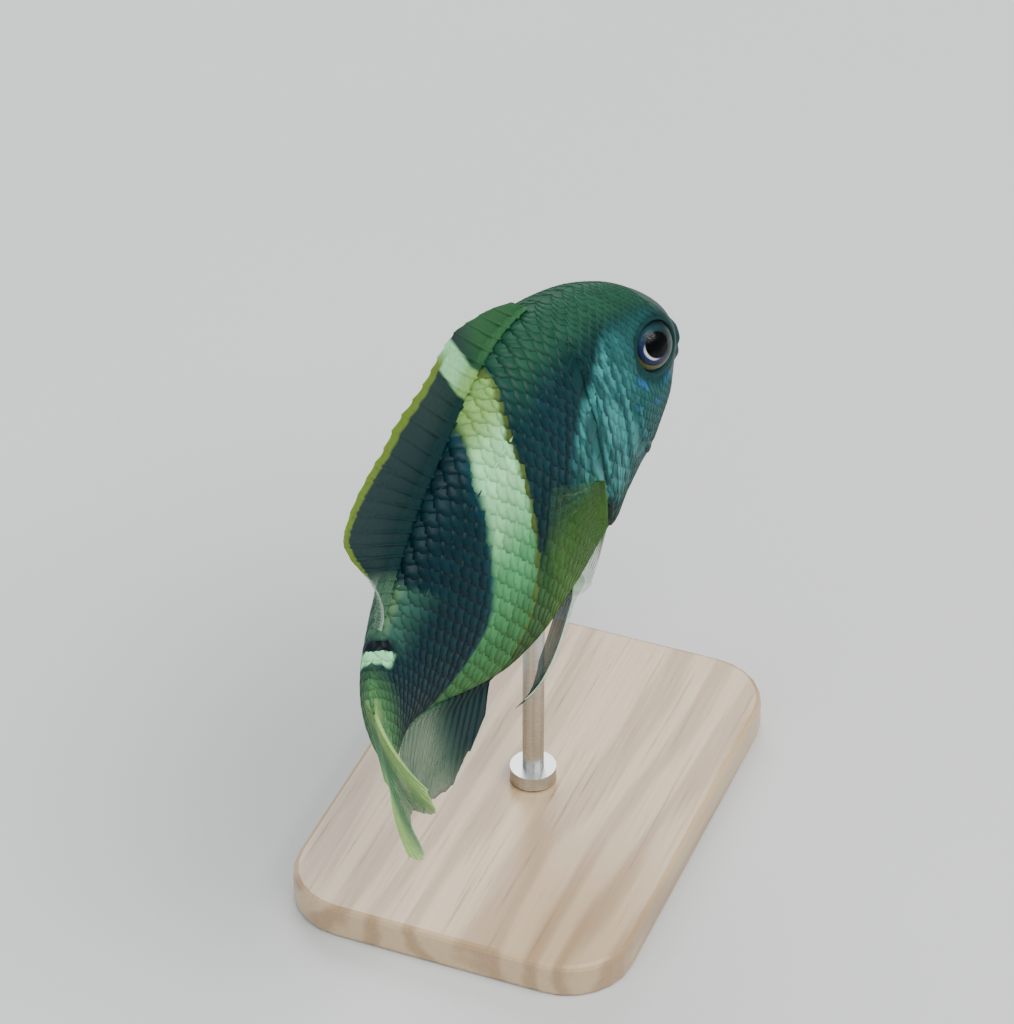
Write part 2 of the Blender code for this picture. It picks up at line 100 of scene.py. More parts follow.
def smooth_line(stations: Sequence[float], values: Sequence[float], at: Array) -> Array:
    """Return a smooth curve through stations that doesn't overshoot.

    Args:
        stations: Rising places along the curve.
        values: The curve's height at each station.
        at: Places to read the curve at.

    Returns:
        The curve's heights at those places.
    """
    x = np.asarray(stations, float)
    y = np.asarray(values, float)
    slope = np.diff(y) / np.diff(x)
    tangent = np.zeros(len(x))
    same_way = slope[1:] * slope[:-1] > 0
    pair_sum = np.where(same_way, slope[1:] + slope[:-1], 1.0)
    tangent[1:-1] = np.where(same_way, 2.0 * slope[1:] * slope[:-1] / pair_sum, 0.0)
    tangent[0] = slope[0]
    tangent[-1] = slope[-1]
    at = np.clip(np.asarray(at, float), x[0], x[-1])
    k = np.clip(np.searchsorted(x, at, side="right") - 1, 0, len(x) - 2)
    width = x[k + 1] - x[k]
    u = (at - x[k]) / width
    start = (1 + 2 * u) * (1 - u) ** 2 * y[k] + u * (1 - u) ** 2 * width * tangent[k]
    end = u * u * (3 - 2 * u) * y[k + 1] + u * u * (u - 1) * width * tangent[k + 1]
    return start + end


def signed_power(x: Array, power: float) -> Array:
    """Return a power of x that keeps its sign."""
    return np.sign(x) * np.abs(x) ** power


def grid_faces(rows: int, columns: int, start: int = 0, closed: bool = False) -> Array:
    """Return the four-sided faces of a grid of points, row by row.

    Args:
        rows: Rows of points.
        columns: Points in each row.
        start: Number of the first point.
        closed: Whether the last column joins the first.

    Returns:
        One row of four point numbers per face.
    """
    across = columns if closed else columns - 1
    r, c = np.meshgrid(np.arange(rows - 1), np.arange(across), indexing="ij")
    a = (r * columns + c).ravel()
    b = (r * columns + (c + 1) % columns).ravel()
    return np.stack([a, b, b + columns, a + columns], axis=1) + start


def rim_of(rows: int, columns: int) -> Array:
    """Return the numbers of a grid's edge points, in order round it."""
    grid = np.arange(rows * columns).reshape(rows, columns)
    return np.concatenate([grid[0], grid[1:, -1], grid[-1, -2::-1], grid[-2:0:-1, 0]])


def end_fans(rows: int, columns: int) -> Array:
    """Return the triangles from a tube's two ends to the two points that follow its grid."""
    ring = np.arange(columns)
    turn = (ring + 1) % columns
    last = (rows - 1) * columns
    first_pole = np.full(columns, rows * columns)
    return np.vstack(
        [
            np.stack([turn, ring, first_pole], axis=1),
            np.stack([last + ring, last + turn, first_pole + 1], axis=1),
        ]
    )


def make_mesh(
    name: str,
    points: Array,
    quads: Array,
    triangles: Array | None = None,
    marks: dict[str, Array] | None = None,
    unwrap: Array | None = None,
    flat: Array | None = None,
) -> bpy.types.Object:
    """Return a smooth-shaded object of points and faces.

    Args:
        name: The piece's name.
        points: One row of x, y, z per point, in metres.
        quads: Faces of four points.
        triangles: Faces of three points.
        marks: Three numbers per point, by name, for the finish to read.
        unwrap: Two numbers per point, its place on the flat unwrap.
        flat: Whether each face, the faces of four points first, is shaded flat.

    Returns:
        The new object, linked to the scene.
    """
    three = np.zeros((0, 3), int) if triangles is None else np.asarray(triangles, int)
    four = np.asarray(quads, int).reshape(-1, 4)
    corners = np.concatenate([four.ravel(), three.ravel()]).astype(np.int32)
    sizes = np.concatenate([np.full(len(four), 4), np.full(len(three), 3)])
    starts = np.concatenate([[0], np.cumsum(sizes)[:-1]]).astype(np.int32)
    mesh = bpy.data.meshes.new(name)
    mesh.vertices.add(len(points))
    mesh.vertices.foreach_set("co", np.asarray(points, np.float32).ravel())
    mesh.loops.add(len(corners))
    mesh.loops.foreach_set("vertex_index", corners)
    mesh.polygons.add(len(starts))
    mesh.polygons.foreach_set("loop_start", starts)
    mesh.update(calc_edges=True)
    mesh.validate()
    mesh.shade_smooth()
    if flat is not None:
        mesh.polygons.foreach_set("use_smooth", ~flat)
    for mark, numbers in (marks or {}).items():
        layer = mesh.attributes.new(mark, "FLOAT_VECTOR", "POINT")
        layer.data.foreach_set("vector", np.asarray(numbers, np.float32).ravel())
    if unwrap is not None:
        layer = mesh.uv_layers.new(name=UNWRAP)
        layer.data.foreach_set("uv", np.asarray(unwrap, np.float32)[corners].ravel())
    obj = bpy.data.objects.new(name, mesh)
    bpy.context.scene.collection.objects.link(obj)
    return obj


def normals_of(points: Array) -> Array:
    """Return the unit normals of a grid of points of shape (rows, columns, 3)."""
    across = np.cross(np.gradient(points, axis=0), np.gradient(points, axis=1))
    return across / np.maximum(np.linalg.norm(across, axis=2, keepdims=True), 1e-12)


# Body form


@dataclass(frozen=True)
class BodyForm:
    """The fish's shape: its bent spine, outline, cross sections and the forms of its head."""

    length: float = 0.080
    pitch_deg: float = 3.5
    bank_deg: float = 9.5
    rest_s: float = 0.45
    belly_height: float = 0.030
    clear: float = 0.0003 / 0.080
    turn_s: tuple[float, ...] = (
        0.0, 0.125, 0.25, 0.40, 0.55, 0.70, 0.80, 0.90, 1.0, 1.15, 1.30,
    )
    turn_deg: tuple[float, ...] = (
        -14.7, -14.7, -12.4, -1.1, 2.6, -4.0, -1.5, 11.5, 27.7, 41.2, 53.2,
    )
    tail_lift: float = 0.032
    tail_lift_from: float = 0.70
    body_s: tuple[float, ...] = (
        0.0, 0.012, 0.03, 0.07, 0.12, 0.20, 0.30, 0.40, 0.50, 0.60, 0.70, 0.80, 0.88, 0.95, 1.0,
    )
    back_up: tuple[float, ...] = (
        -0.006, 0.030, 0.059, 0.104, 0.144, 0.186, 0.214, 0.223,
        0.219, 0.202, 0.171, 0.123, 0.086, 0.075, 0.077,
    )
    belly_up: tuple[float, ...] = (
        -0.006, -0.036, -0.056, -0.088, -0.122, -0.168, -0.206, -0.221,
        -0.219, -0.198, -0.158, -0.109, -0.081, -0.073, -0.078,
    )
    width_half: tuple[float, ...] = (
        0.0, 0.024, 0.041, 0.063, 0.079, 0.097, 0.105, 0.105,
        0.098, 0.084, 0.067, 0.048, 0.035, 0.025, 0.018,
    )
    flank_power: float = 0.9
    gill_edge_s: float = 0.312
    gill_flap: float = 0.024
    gill_flap_deg: float = 92.0
    gill_flap_width_deg: float = 34.0
    throat_cut: float = 0.075
    eye_s: float = 0.118
    eye_up: float = 0.046
    eye_out: float = 0.055
    eye_radius: float = 0.043
    eye_depth: float = 0.040
    snout_up: float = -0.006
    mouth_s: float = 0.042
    mouth_drop: float = 0.019
    nostril_s: float = 0.062
    nostril_up: float = 0.050
    spine_s: Array = field(init=False, repr=False, compare=False, default=None)
    spine_xy: Array = field(init=False, repr=False, compare=False, default=None)
    pose: Array = field(init=False, repr=False, compare=False, default=None)
    shift: Array = field(init=False, repr=False, compare=False, default=None)

    def __post_init__(self) -> None:
        """Work out the line of the spine and the pose."""
        step = 0.005
        s = np.arange(0.0, self.turn_s[-1] + step / 2, step)
        angle = self.heading(s)
        ahead = np.stack([np.cos(angle), np.sin(angle)], axis=1)
        moves = -(ahead[1:] + ahead[:-1]) / 2 * step
        places = np.vstack([[0.0, 0.0], np.cumsum(moves, axis=0)])
        object.__setattr__(self, "spine_s", s)
        object.__setattr__(self, "spine_xy", places - places[np.searchsorted(s, 0.5)])
        pitch = Matrix.Rotation(-math.radians(self.pitch_deg), 3, "Y")
        bank = Matrix.Rotation(-math.radians(self.bank_deg), 3, "X")
        object.__setattr__(self, "pose", np.array(pitch @ bank))
        rest = self.unplaced(self.rest_s, self.belly(self.rest_s), 0.0) @ self.pose.T
        object.__setattr__(self, "shift", np.array([0.0, 0.0, self.belly_height]) - rest)

    def heading(self, s: Array | float) -> Array:
        """Return the spine's heading in radians to the fish's left."""
        return np.radians(smooth_line(self.turn_s, self.turn_deg, s))

    def _along(self, values: Sequence[float], s: Array | float) -> Array:
        """Return a line of the body outline at stations."""
        return smooth_line(np.sqrt(self.body_s), values, np.sqrt(np.clip(s, 0, 1)))

    def back(self, s: Array | float) -> Array:
        """Return the height of the back."""
        return self._along(self.back_up, s)

    def belly(self, s: Array | float) -> Array:
        """Return the height of the belly line."""
        return self._along(self.belly_up, s)

    def half_width(self, s: Array | float) -> Array:
        """Return half the body's width."""
        return self._along(self.width_half, s)

    def unplaced(self, s: Array | float, up: Array | float, right: Array | float) -> Array:
        """Return places in metres, level, with the middle of the spine at the origin."""
        s, up, right = np.broadcast_arrays(np.asarray(s, float), up, right)
        angle = self.heading(s)
        x = np.interp(s, self.spine_s, self.spine_xy[:, 0]) + right * np.sin(angle)
        y = np.interp(s, self.spine_s, self.spine_xy[:, 1]) - right * np.cos(angle)
        span = self.spine_s[-1] - self.tail_lift_from
        lift = np.clip((s - self.tail_lift_from) / span, 0, 1) ** 2 * self.tail_lift
        return np.stack([x, y, up + lift], axis=-1) * self.length

    def place(self, s: Array | float, up: Array | float, right: Array | float) -> Array:
        """Return world places, in metres, of points on the posed fish."""
        return self.unplaced(s, up, right) @ self.pose.T + self.shift

    def axes(self, s: float) -> Array:
        """Return the world directions ahead, left and up at a station, as columns."""
        angle = float(self.heading(s))
        turn = np.array(Matrix.Rotation(angle, 3, "Z"))
        return self.pose @ turn

    def oval(self, s: Array | float) -> tuple[Array, Array]:
        """Return the middle of the body's height, and half of that height."""
        back, belly = self.back(s), self.belly(s)
        return (back + belly) / 2, (back - belly) / 2

    def flank(self, s: Array, t: Array) -> tuple[Array, Array]:
        """Return up and right of the plain body surface."""
        middle, height = self.oval(s)
        side = signed_power(np.sin(t), self.flank_power)
        return middle + height * np.cos(t), self.half_width(s) * side

    def flank_at(self, s: Array | float, up: Array | float) -> Array:
        """Return how far right the flank stands at a height above the spine."""
        middle, height = self.oval(s)
        cosine = np.clip((up - middle) / height, -1, 1)
        return self.half_width(s) * np.sqrt(1 - cosine**2) ** self.flank_power

    def belly_at(self, s: Array, right: Array | float) -> Array:
        """Return the height of the under side at a distance from the middle."""
        middle, height = self.oval(s)
        sine = np.clip(np.abs(right) / self.half_width(s), 0, 1) ** (1 / self.flank_power)
        return middle - height * np.sqrt(1 - sine**2)

    def gill_edge(self, t: Array) -> Array:
        """Return the station of the gill cover's rear edge."""
        around = np.degrees(np.abs(np.arctan2(np.sin(t), np.cos(t))))
        flap = self.gill_flap * bump(around, self.gill_flap_deg, self.gill_flap_width_deg)
        throat = self.throat_cut * smooth_step(around, 125.0, 180.0)
        return self.gill_edge_s + flap - throat

    def from_eye(self, s: Array, up: Array) -> Array:
        """Return the distance from the middle of the eye, seen from the side."""
        return np.hypot(s - self.eye_s, up - self.eye_up)

    def round_marks(self, s: Array, up: Array, t: Array) -> Array:
        """Return the mark round: the angle's cosine, and the way to the gill edge and the eye."""
        parts = np.broadcast_arrays(np.cos(t), self.gill_edge(t) - s, self.from_eye(s, up))
        return np.stack(parts, axis=-1)

    def mouth_gap(self, s: Array, up: Array) -> Array:
        """Return the height above the line of the mouth."""
        return up - (self.snout_up - self.mouth_drop * s / self.mouth_s)


@dataclass(frozen=True)
class HeadForms:
    """The forms that stand out of or sink into the head's plain oval, in body lengths."""

    body: BodyForm
    lip_swell: float = 0.0085
    lip_width: float = 0.0125
    lip_soft: float = 0.0085
    mouth_depth: float = 0.0105
    mouth_half: float = 0.0024
    lip_fold: float = 0.0022
    pore_ring: float = 0.062
    pore_inset: float = 0.008
    rim_height: float = 0.0022
    cheek_s: float = 0.125
    cheek_up: float = -0.015
    cheek_radius: float = 0.093
    cheek_flat: float = 0.85
    cheek_step: float = 0.0052
    cheek_ledge: float = 0.0014
    cover_swell: float = 0.0050
    cover_edge: float = 0.0045
    cover_groove: float = 0.0026
    pore_radius: float = 0.0021
    pore_depth: float = 0.0016
    throat_fold: float = 0.0013
    throat_waves: float = 22.0
    nostril_radius: float = 0.0042
    nostril_depth: float = 0.0075

    def lips(self, s: Array, up: Array) -> Array:
        """Return the two lips and the line of the mouth between them."""
        gap = self.body.mouth_gap(s, up)
        rolls = bump(gap, self.lip_width, self.lip_soft) + bump(gap, -self.lip_width, self.lip_soft)
        from_tip = smooth_step(s, 0.0, self.lip_width)
        corner = self.body.mouth_s
        to_corner = 1 - smooth_step(s, corner * 0.55, corner * 1.1)
        line = bump(gap, 0.0, self.mouth_half) * (1 - smooth_step(s, corner * 0.8, corner * 1.05))
        fold_at = corner * 1.12 + 0.15 * gap
        fold = self.lip_fold * bump(s, 0.0, 1.0) * bump(s - fold_at, 0.0, 0.0032) * bump(gap, 0.0, 0.022)
        return self.lip_swell * from_tip * to_corner * rolls - self.mouth_depth * line - fold

    def cheek(self, s: Array, up: Array, t: Array) -> Array:
        """Return the cheek, which ends behind and below in the step of the preopercle."""
        from_middle = np.hypot(s - self.cheek_s, (up - self.cheek_up) * self.cheek_flat)
        r = self.cheek_radius
        inside = 1 - smooth_step(from_middle, r - 0.0028, r + 0.0028)
        low = smooth_step(-up, -0.05, 0.02)
        off_throat = smooth_step(np.abs(np.sin(t)), 0.05, 0.4)
        place = low * smooth_step(s, 0.05, 0.1) * off_throat
        ledge = self.cheek_ledge * bump(from_middle, r - 0.014, 0.0045)
        return (self.cheek_step * inside - ledge) * place

    def gill_cover(self, s: Array, t: Array) -> Array:
        """Return the swell of the gill cover, its thin edge and the groove behind it."""
        ahead = self.body.gill_edge(t) - s
        plate = smooth_step(ahead, 0.0, self.cover_edge) * (1 - smooth_step(ahead, 0.02, 0.07))
        groove = self.cover_groove * bump(ahead, -0.0022, 0.0030)
        sideways = smooth_step(np.abs(np.sin(t)), 0.25, 0.7)
        return (self.cover_swell * plate - groove) * sideways

    def throat(self, s: Array, t: Array) -> Array:
        """Return the folds of the gill membranes under the throat."""
        around = np.abs(np.arctan2(np.sin(t), np.cos(t)))
        under = smooth_step(around, math.radians(128), math.radians(150))
        along = smooth_step(s, 0.07, 0.12) * (1 - smooth_step(s, 0.23, 0.27))
        return self.throat_fold * np.cos((math.pi - around) * self.throat_waves) * under * along

    def pores(self, s: Array, up: Array) -> Array:
        """Return the small sense pores below the eye and along the preopercle."""
        pits = np.zeros(np.broadcast(s, up).shape)
        edge = self.cheek_radius - self.pore_inset
        body, ring = self.body, self.pore_ring
        for middle_s, middle_up, wide, high, degrees in (
            (body.eye_s, body.eye_up, ring, ring, range(-150, 31, 20)),
            (self.cheek_s, self.cheek_up, edge, edge / self.cheek_flat, range(-75, 6, 16)),
        ):
            for angle in np.radians(degrees):
                across = s - (middle_s + wide * math.cos(angle))
                height = up - (middle_up + high * math.sin(angle))
                pits = pits + bump(np.hypot(across, height), 0.0, self.pore_radius)
        return -self.pore_depth * pits

    def nostrils(self, s: Array, up: Array) -> Array:
        """Return the nostril's pit with its raised rim."""
        r = np.hypot(s - self.body.nostril_s, up - self.body.nostril_up)
        pit = self.nostril_depth * bump(r, 0.0, self.nostril_radius)
        rim = self.rim_height * bump(r, self.nostril_radius * 1.75, 0.0022)
        return rim - pit

    def smooth(self, s: Array, t: Array) -> Array:
        """Return the broad forms, which the scales follow too."""
        up, _ = self.body.flank(s, t)
        return self.cheek(s, up, t) + self.gill_cover(s, t)

    def full(self, s: Array, t: Array) -> Array:
        """Return all forms of the head."""
        up, _ = self.body.flank(s, t)
        fine = self.lips(s, up) + self.throat(s, t) + self.pores(s, up) + self.nostrils(s, up)
        return self.smooth(s, t) + fine


# Finishes


class Tone:
    """A number that a material works out at every point, for +, -, * and the calls below."""

    def __init__(self, paint: Paint, socket: Socket) -> None:
        """Keep the number's material and its socket."""
        self.paint = paint
        self.socket = socket

    def __add__(self, other: float | Tone) -> Tone:
        """Return a sum."""
        return self.paint.math("ADD", self, other)

    def __sub__(self, other: float | Tone) -> Tone:
        """Return a difference."""
        return self.paint.math("SUBTRACT", self, other)

    def __rsub__(self, other: float) -> Tone:
        """Return a plain number less this one."""
        return self.paint.math("SUBTRACT", other, self)

    def __mul__(self, other: float | Tone) -> Tone:
        """Return a product."""
        return self.paint.math("MULTIPLY", self, other)

    def __abs__(self) -> Tone:
        """Return the number without its sign."""
        return self.paint.math("ABSOLUTE", self)

    def at_least(self, other: float | Tone) -> Tone:
        """Return the larger of two numbers."""
        return self.paint.math("MAXIMUM", self, other)

    def at_most(self, other: float) -> Tone:
        """Return the smaller of two numbers."""
        return self.paint.math("MINIMUM", self, other)

    def step(self, low: float, high: float, a: float = 0.0, b: float = 1.0) -> Tone:
        """Return a smooth ramp from a, where the number is low, to b, where it is high."""
        made = self.paint.node("MapRange", interpolation_type="SMOOTHSTEP")
        for number, part in enumerate((self, low, high, a, b)):
            self.paint.feed(part, made.inputs[number])
        return Tone(self.paint, made.outputs[0])

    def hump(self, centre: float, flat: float, soft: float) -> Tone:
        """Return 1 within flat of a centre, falling to 0 over a further soft distance."""
        return abs(self - centre).step(flat, flat + soft, 1.0, 0.0)


class Paint:
    """A material whose nodes are made by short calls."""

    def __init__(self, name: str) -> None:
        """Start a material with its Principled shader."""
        self.material = bpy.data.materials.new(name)
        self.material.use_nodes = True
        self.tree = self.material.node_tree
        self.shader = self.tree.nodes["Principled BSDF"]

    def node(self, kind: str, **settings: object) -> bpy.types.Node:
        """Return a new node of a kind with its settings."""
        made = self.tree.nodes.new("ShaderNode" + kind)
        for name, value in settings.items():
            setattr(made, name, value)
        return made

    def feed(self, value: object, socket: Socket) -> None:
        """Link a number or colour that is worked out to an input, or set the input to a plain one."""
        source = value.socket if isinstance(value, Tone) else value
        if isinstance(source, Socket):
            self.tree.links.new(source, socket)
        elif isinstance(source, tuple) and len(source) == 3 and socket.type == "RGBA":
            socket.default_value = (*source, 1.0)
        else:
            socket.default_value = source

    def put(self, **values: object) -> None:
        """Set or link inputs of the Principled shader, named with _ for a space."""
        for name, value in values.items():
            self.feed(value, self.shader.inputs[name.replace("_", " ")])

    def math(self, operation: str, a: float | Tone, b: float | Tone = 0.0, clamp: bool = False) -> Tone:
        """Return the result of a Math node."""
        made = self.node("Math", operation=operation, use_clamp=clamp)
        self.feed(a, made.inputs[0])
        self.feed(b, made.inputs[1])
        return Tone(self, made.outputs[0])

    def split(self, vector: Socket) -> tuple[Tone, ...]:
        """Return the three numbers of a vector."""
        parts = self.node("SeparateXYZ")
        self.feed(vector, parts.inputs[0])
        return tuple(Tone(self, part) for part in parts.outputs)

    def mark(self, name: str) -> tuple[Tone, ...]:
        """Return the three numbers of a named mark on the mesh."""
        return self.split(self.node("Attribute", attribute_name=name).outputs["Vector"])

    def place(self) -> tuple[Tone, ...]:
        """Return x, y and z on the object."""
        return self.split(self.node("TexCoord").outputs["Object"])

    def vector(self, x: float | Tone, y: float | Tone, z: float | Tone = 0.0) -> Socket:
        """Return a vector of three values."""
        made = self.node("CombineXYZ")
        for number, part in enumerate((x, y, z)):
            self.feed(part, made.inputs[number])
        return made.outputs[0]

    def noise(self, vector: Socket, scale: float, detail: float = 3.0, rough: float = 0.5) -> Tone:
        """Return noise from 0 to 1."""
        made = self.node("TexNoise")
        self.feed(vector, made.inputs["Vector"])
        made.inputs["Scale"].default_value = scale
        made.inputs["Detail"].default_value = detail
        made.inputs["Roughness"].default_value = rough
        return Tone(self, made.outputs[0])

    def cells(self, vector: Socket, scale: float) -> Tone:
        """Return the distance to the nearest of many scattered points."""
        made = self.node("TexVoronoi", feature="F1")
        self.feed(vector, made.inputs["Vector"])
        made.inputs["Scale"].default_value = scale
        return Tone(self, made.outputs["Distance"])

    def mix(self, share: float | Tone, a: Colour | Socket, b: Colour | Socket) -> Socket:
        """Return a blend from colour a to colour b."""
        made = self.node("Mix", data_type="RGBA")
        self.feed(share, made.inputs[0])
        self.feed(a, made.inputs[6])
        self.feed(b, made.inputs[7])
        return made.outputs[2]

    def layers(self, base: Colour | Socket, *over: tuple[Tone, Colour | Socket]) -> Socket:
        """Return a colour with others laid over it in turn, each as far as its share goes."""
        for share, colour in over:
            base = self.mix(share, base, colour)
        return base

    def shade(self, colour: Colour | Socket, amount: Tone) -> Socket:
        """Return a colour made darker or lighter by a factor."""
        made = self.node("Mix", data_type="RGBA", blend_type="MULTIPLY")
        made.inputs[0].default_value = 1.0
        grey = self.node("CombineColor")
        for number in range(3):
            self.feed(amount, grey.inputs[number])
        self.feed(colour, made.inputs[6])
        self.feed(grey.outputs[0], made.inputs[7])
        return made.outputs[2]

    def bumps(self, height: Tone, strength: float, distance: float) -> None:
        """Give the shader a bump from a height in metres over distance."""
        made = self.node("Bump")
        made.inputs["Strength"].default_value = strength
        made.inputs["Distance"].default_value = distance
        self.feed(height, made.inputs["Height"])
        self.feed(made.outputs[0], self.shader.inputs["Normal"])


@dataclass(frozen=True)
class Markings:
    """The live colours of skin and scales, with some painted light and shade, and where each stands on
    the body.
    """

    front_dark: Colour = (0.0026, 0.025, 0.027)
    rear_dark: Colour = (0.0020, 0.019, 0.026)
    # A bluish sheen painted on the upper middle flank.
    blue_sheen: Colour = (0.0035, 0.026, 0.040)
    bar_crest: Colour = (0.19, 0.36, 0.10)
    bar_high: Colour = (0.28, 0.66, 0.32)
    bar_low: Colour = (0.075, 0.29, 0.115)
    bar_foot: Colour = (0.042, 0.155, 0.050)
    bar_front: Colour = (0.09, 0.13, 0.015)
    bar_rear: Colour = (0.004, 0.034, 0.048)
    nape: Colour = (0.014, 0.068, 0.038)
    olive: Colour = (0.026, 0.090, 0.022)
    breast: Colour = (0.050, 0.150, 0.022)
    chest: Colour = (0.008, 0.040, 0.030)
    cheek: Colour = (0.014, 0.078, 0.078)
    streak: Colour = (0.060, 0.270, 0.270)
    snout: Colour = (0.008, 0.036, 0.036)
    blue_spot: Colour = (0.018, 0.105, 0.240)
    # Pale patch and ridge: partly the rear body's own paler colour, partly painted sunlight.
    pale_sunlit_patch: Colour = (0.036, 0.112, 0.078)
    ridge: Colour = (0.11, 0.22, 0.10)
    saddle: Colour = (0.28, 0.72, 0.36)
    spot: Colour = (0.003, 0.005, 0.009)
    stalk: Colour = (0.022, 0.070, 0.034)
    stalk_end: Colour = (0.060, 0.165, 0.062)
    head_end_s: float = 0.440
    bar_front_s: float = 0.563
    bar_front_lean: float = 0.215
    bar_rear_s: float = 0.667
    bar_rear_lean: float = 0.320
    dash_at: tuple[float, float] = (0.177, 0.027)
    blue_spots: tuple[tuple[float, float, float], ...] = (
        (0.110, -0.008, 0.0085), (0.148, -0.024, 0.0055), (0.205, 0.004, 0.0050),
    )

    def colour(self, paint: Paint) -> Socket:
        """Return the colour of the body from the marks lie and round.

        Args:
            paint: The material that the colour is for. Its mesh carries the marks lie, which is
                s, up and right, and round, which is the cosine of the angle round the body, the
                distance ahead of the gill cover's edge and the distance from the eye.

        Returns:
            The socket of the colour.
        """
        s, up, right = paint.mark("lie")
        high, ahead, from_eye = paint.mark("round")
        spot = paint.vector(s, up, right)
        rough = paint.noise(spot, 26.0, 4.0) - 0.5
        fine = paint.noise(spot, 130.0, 3.0) - 0.5
        s_rough = s + rough * 0.012

        # Painted sheen: a bluish tint laid on the upper flank of the middle body.
        blue = s.hump(0.43, 0.02, 0.10) * high.step(-0.5, 0.3)
        off_middle = up - 0.005
        past_head = s_rough - (self.head_end_s - off_middle * off_middle * 11.0)
        low_head = past_head.step(0.020, -0.045) * high.step(0.88, 0.55)
        stripes = paint.noise(paint.vector(s, up * 0.20, right), 66.0, 2.0)
        stripes = stripes.step(0.44, 0.60) * low_head * s.step(0.17, 0.26)
        chest = high.step(-0.25, -0.72) * s.step(0.50, 0.36)
        belly = (up + rough * 0.03).step(0.010, -0.060) * s.step(0.36, 0.45) * s.step(0.72, 0.60)
        breast = s.hump(0.445, 0.050, 0.055) * up.step(0.020, -0.070)
        nape = (high + rough * 0.20).step(0.66, 0.90) * s.step(0.54, 0.40)
        colour = paint.layers(
            self.front_dark,
            (s.step(0.45, 0.62), self.rear_dark),
            (blue * 0.55, self.blue_sheen),
            (low_head, self.cheek),
            (stripes * 0.80, self.streak),
            (chest * 0.85, self.chest),
            (belly * 0.9, self.olive),
            (breast * 0.75, self.breast),
            (nape * 0.9, self.nape),
            (s.step(0.105, 0.06) * 0.7, self.snout),
        )
        colour = self._blue_marks(paint, colour, s, up)
        colour = self._bar(paint, colour, s_rough, up, fine)
        colour = self._rear(paint, colour, s_rough, up, high)
        round_eye = from_eye.step(0.062, 0.044)
        colour = paint.shade(colour, round_eye.step(0.0, 1.0, 1.0, 0.55))
        # Painted shade in the groove behind the gill cover's edge, on the sides and under the head.
        gill_groove_shade = ahead.hump(-0.002, 0.0012, 0.004) * high.step(0.68, 0.54)
        return paint.shade(colour, gill_groove_shade.step(0.0, 1.0, 1.0, 0.35))

    def _blue_marks(self, paint: Paint, colour: Socket, s: Tone, up: Tone) -> Socket:
        """Return the colour with the blue dash, spots and freckles of the face."""
        behind, above = s - self.dash_at[0], up - self.dash_at[1]
        along = behind * 0.6 + above * 0.8
        beside = behind * 0.8 - above * 0.6
        dash = along.hump(0.0, 0.014, 0.008) * beside.hump(0.0, 0.003, 0.005)
        colour = paint.mix(dash * 0.95, colour, self.blue_spot)
        for at_s, at_up, size in self.blue_spots:
            across, height = s - at_s, up - at_up
            off = paint.math("SQRT", across * across + height * height)
            colour = paint.mix(off.step(size * 1.3, size * 0.6) * 0.8, colour, self.blue_spot)
        freckles = paint.cells(paint.vector(s, up), 42.0).step(0.28, 0.16)
        freckles = freckles * s.step(0.07, 0.10) * s.step(0.30, 0.24) * up.step(0.02, -0.02)
        return paint.mix(freckles * 0.35, colour, self.blue_spot)

    def _past_bar(self, s: Tone, up: Tone) -> tuple[Tone, Tone]:
        """Return how far behind the bar's front edge, and behind its rear edge, a point lies."""
        over = (up - 0.150).at_least(0.0)
        bend = over * over * 12.0
        under = (-0.040 - up).at_least(0.0)
        far_under = (-0.010 - up).at_least(0.0)
        from_front = (s - self.bar_front_s) + (up * self.bar_front_lean + bend)
        from_rear = (s - self.bar_rear_s) + (up * self.bar_rear_lean + bend)
        return from_front - under * under * 4.0, from_rear - far_under * far_under * 20.0

    def _bar(self, paint: Paint, colour: Socket, s: Tone, up: Tone, fine: Tone) -> Socket:
        """Return the colour with the pale bar across the middle of the body."""
        from_front, from_rear = self._past_bar(s + fine * 0.005, up)
        pale = paint.layers(
            self.bar_high,
            (up.step(0.13, 0.01), self.bar_low),
            (up.step(0.01, -0.085), self.bar_foot),
            (up.step(0.165, 0.205), self.bar_crest),
        )
        return paint.layers(
            colour,
            (from_front.hump(-0.003, 0.002, 0.006) * 0.70, self.bar_front),
            (from_rear.hump(0.004, 0.005, 0.018) * 0.80, self.bar_rear),
            (
                from_front.step(-0.003, 0.005) * from_rear.step(0.010, -0.010),
                paint.shade(pale, fine.step(-0.4, 0.4, 0.86, 1.12)),
            ),
        )

    def _rear(self, paint: Paint, colour: Socket, s: Tone, up: Tone, high: Tone) -> Socket:
        """Return the colour with the marks of the rear body and the tail stalk, and a pale patch of
        painted sunlight on the upper rear flank.
        """
        # Pale patch on the upper rear flank, brightest along the back ridge: partly the rear body's paler
        # colour, partly painted sunlight, its sharp front edge a painted shadow edge of the soft dorsal
        # fin.
        behind_fin = s - (up * 0.93 + 0.690)
        patch = behind_fin.step(-0.004, 0.010) * high.step(0.28, 1.0) * s.step(0.895, 0.86)
        ridge = high.step(0.90, 0.985) * s.step(0.795, 0.81) * s.step(0.89, 0.85)
        stalk = s.step(0.915, 0.950) * high.step(-0.8, 0.7, 0.45, 1.0)
        arched = s + (1.0 - high) * 0.05
        saddle = arched.step(0.900, 0.906) * arched.step(0.931, 0.923) * high.step(0.66, 0.80)
        spot = arched.hump(0.892, 0.004, 0.008) * high.step(0.74, 0.92)
        return paint.layers(
            colour,
            (patch * 0.85, self.pale_sunlit_patch),
            (ridge * 0.6, self.ridge),
            (stalk, self.stalk),
            (s.step(0.945, 0.990), self.stalk_end),
            (saddle, self.saddle),
            (spot * 0.92, self.spot),
        )


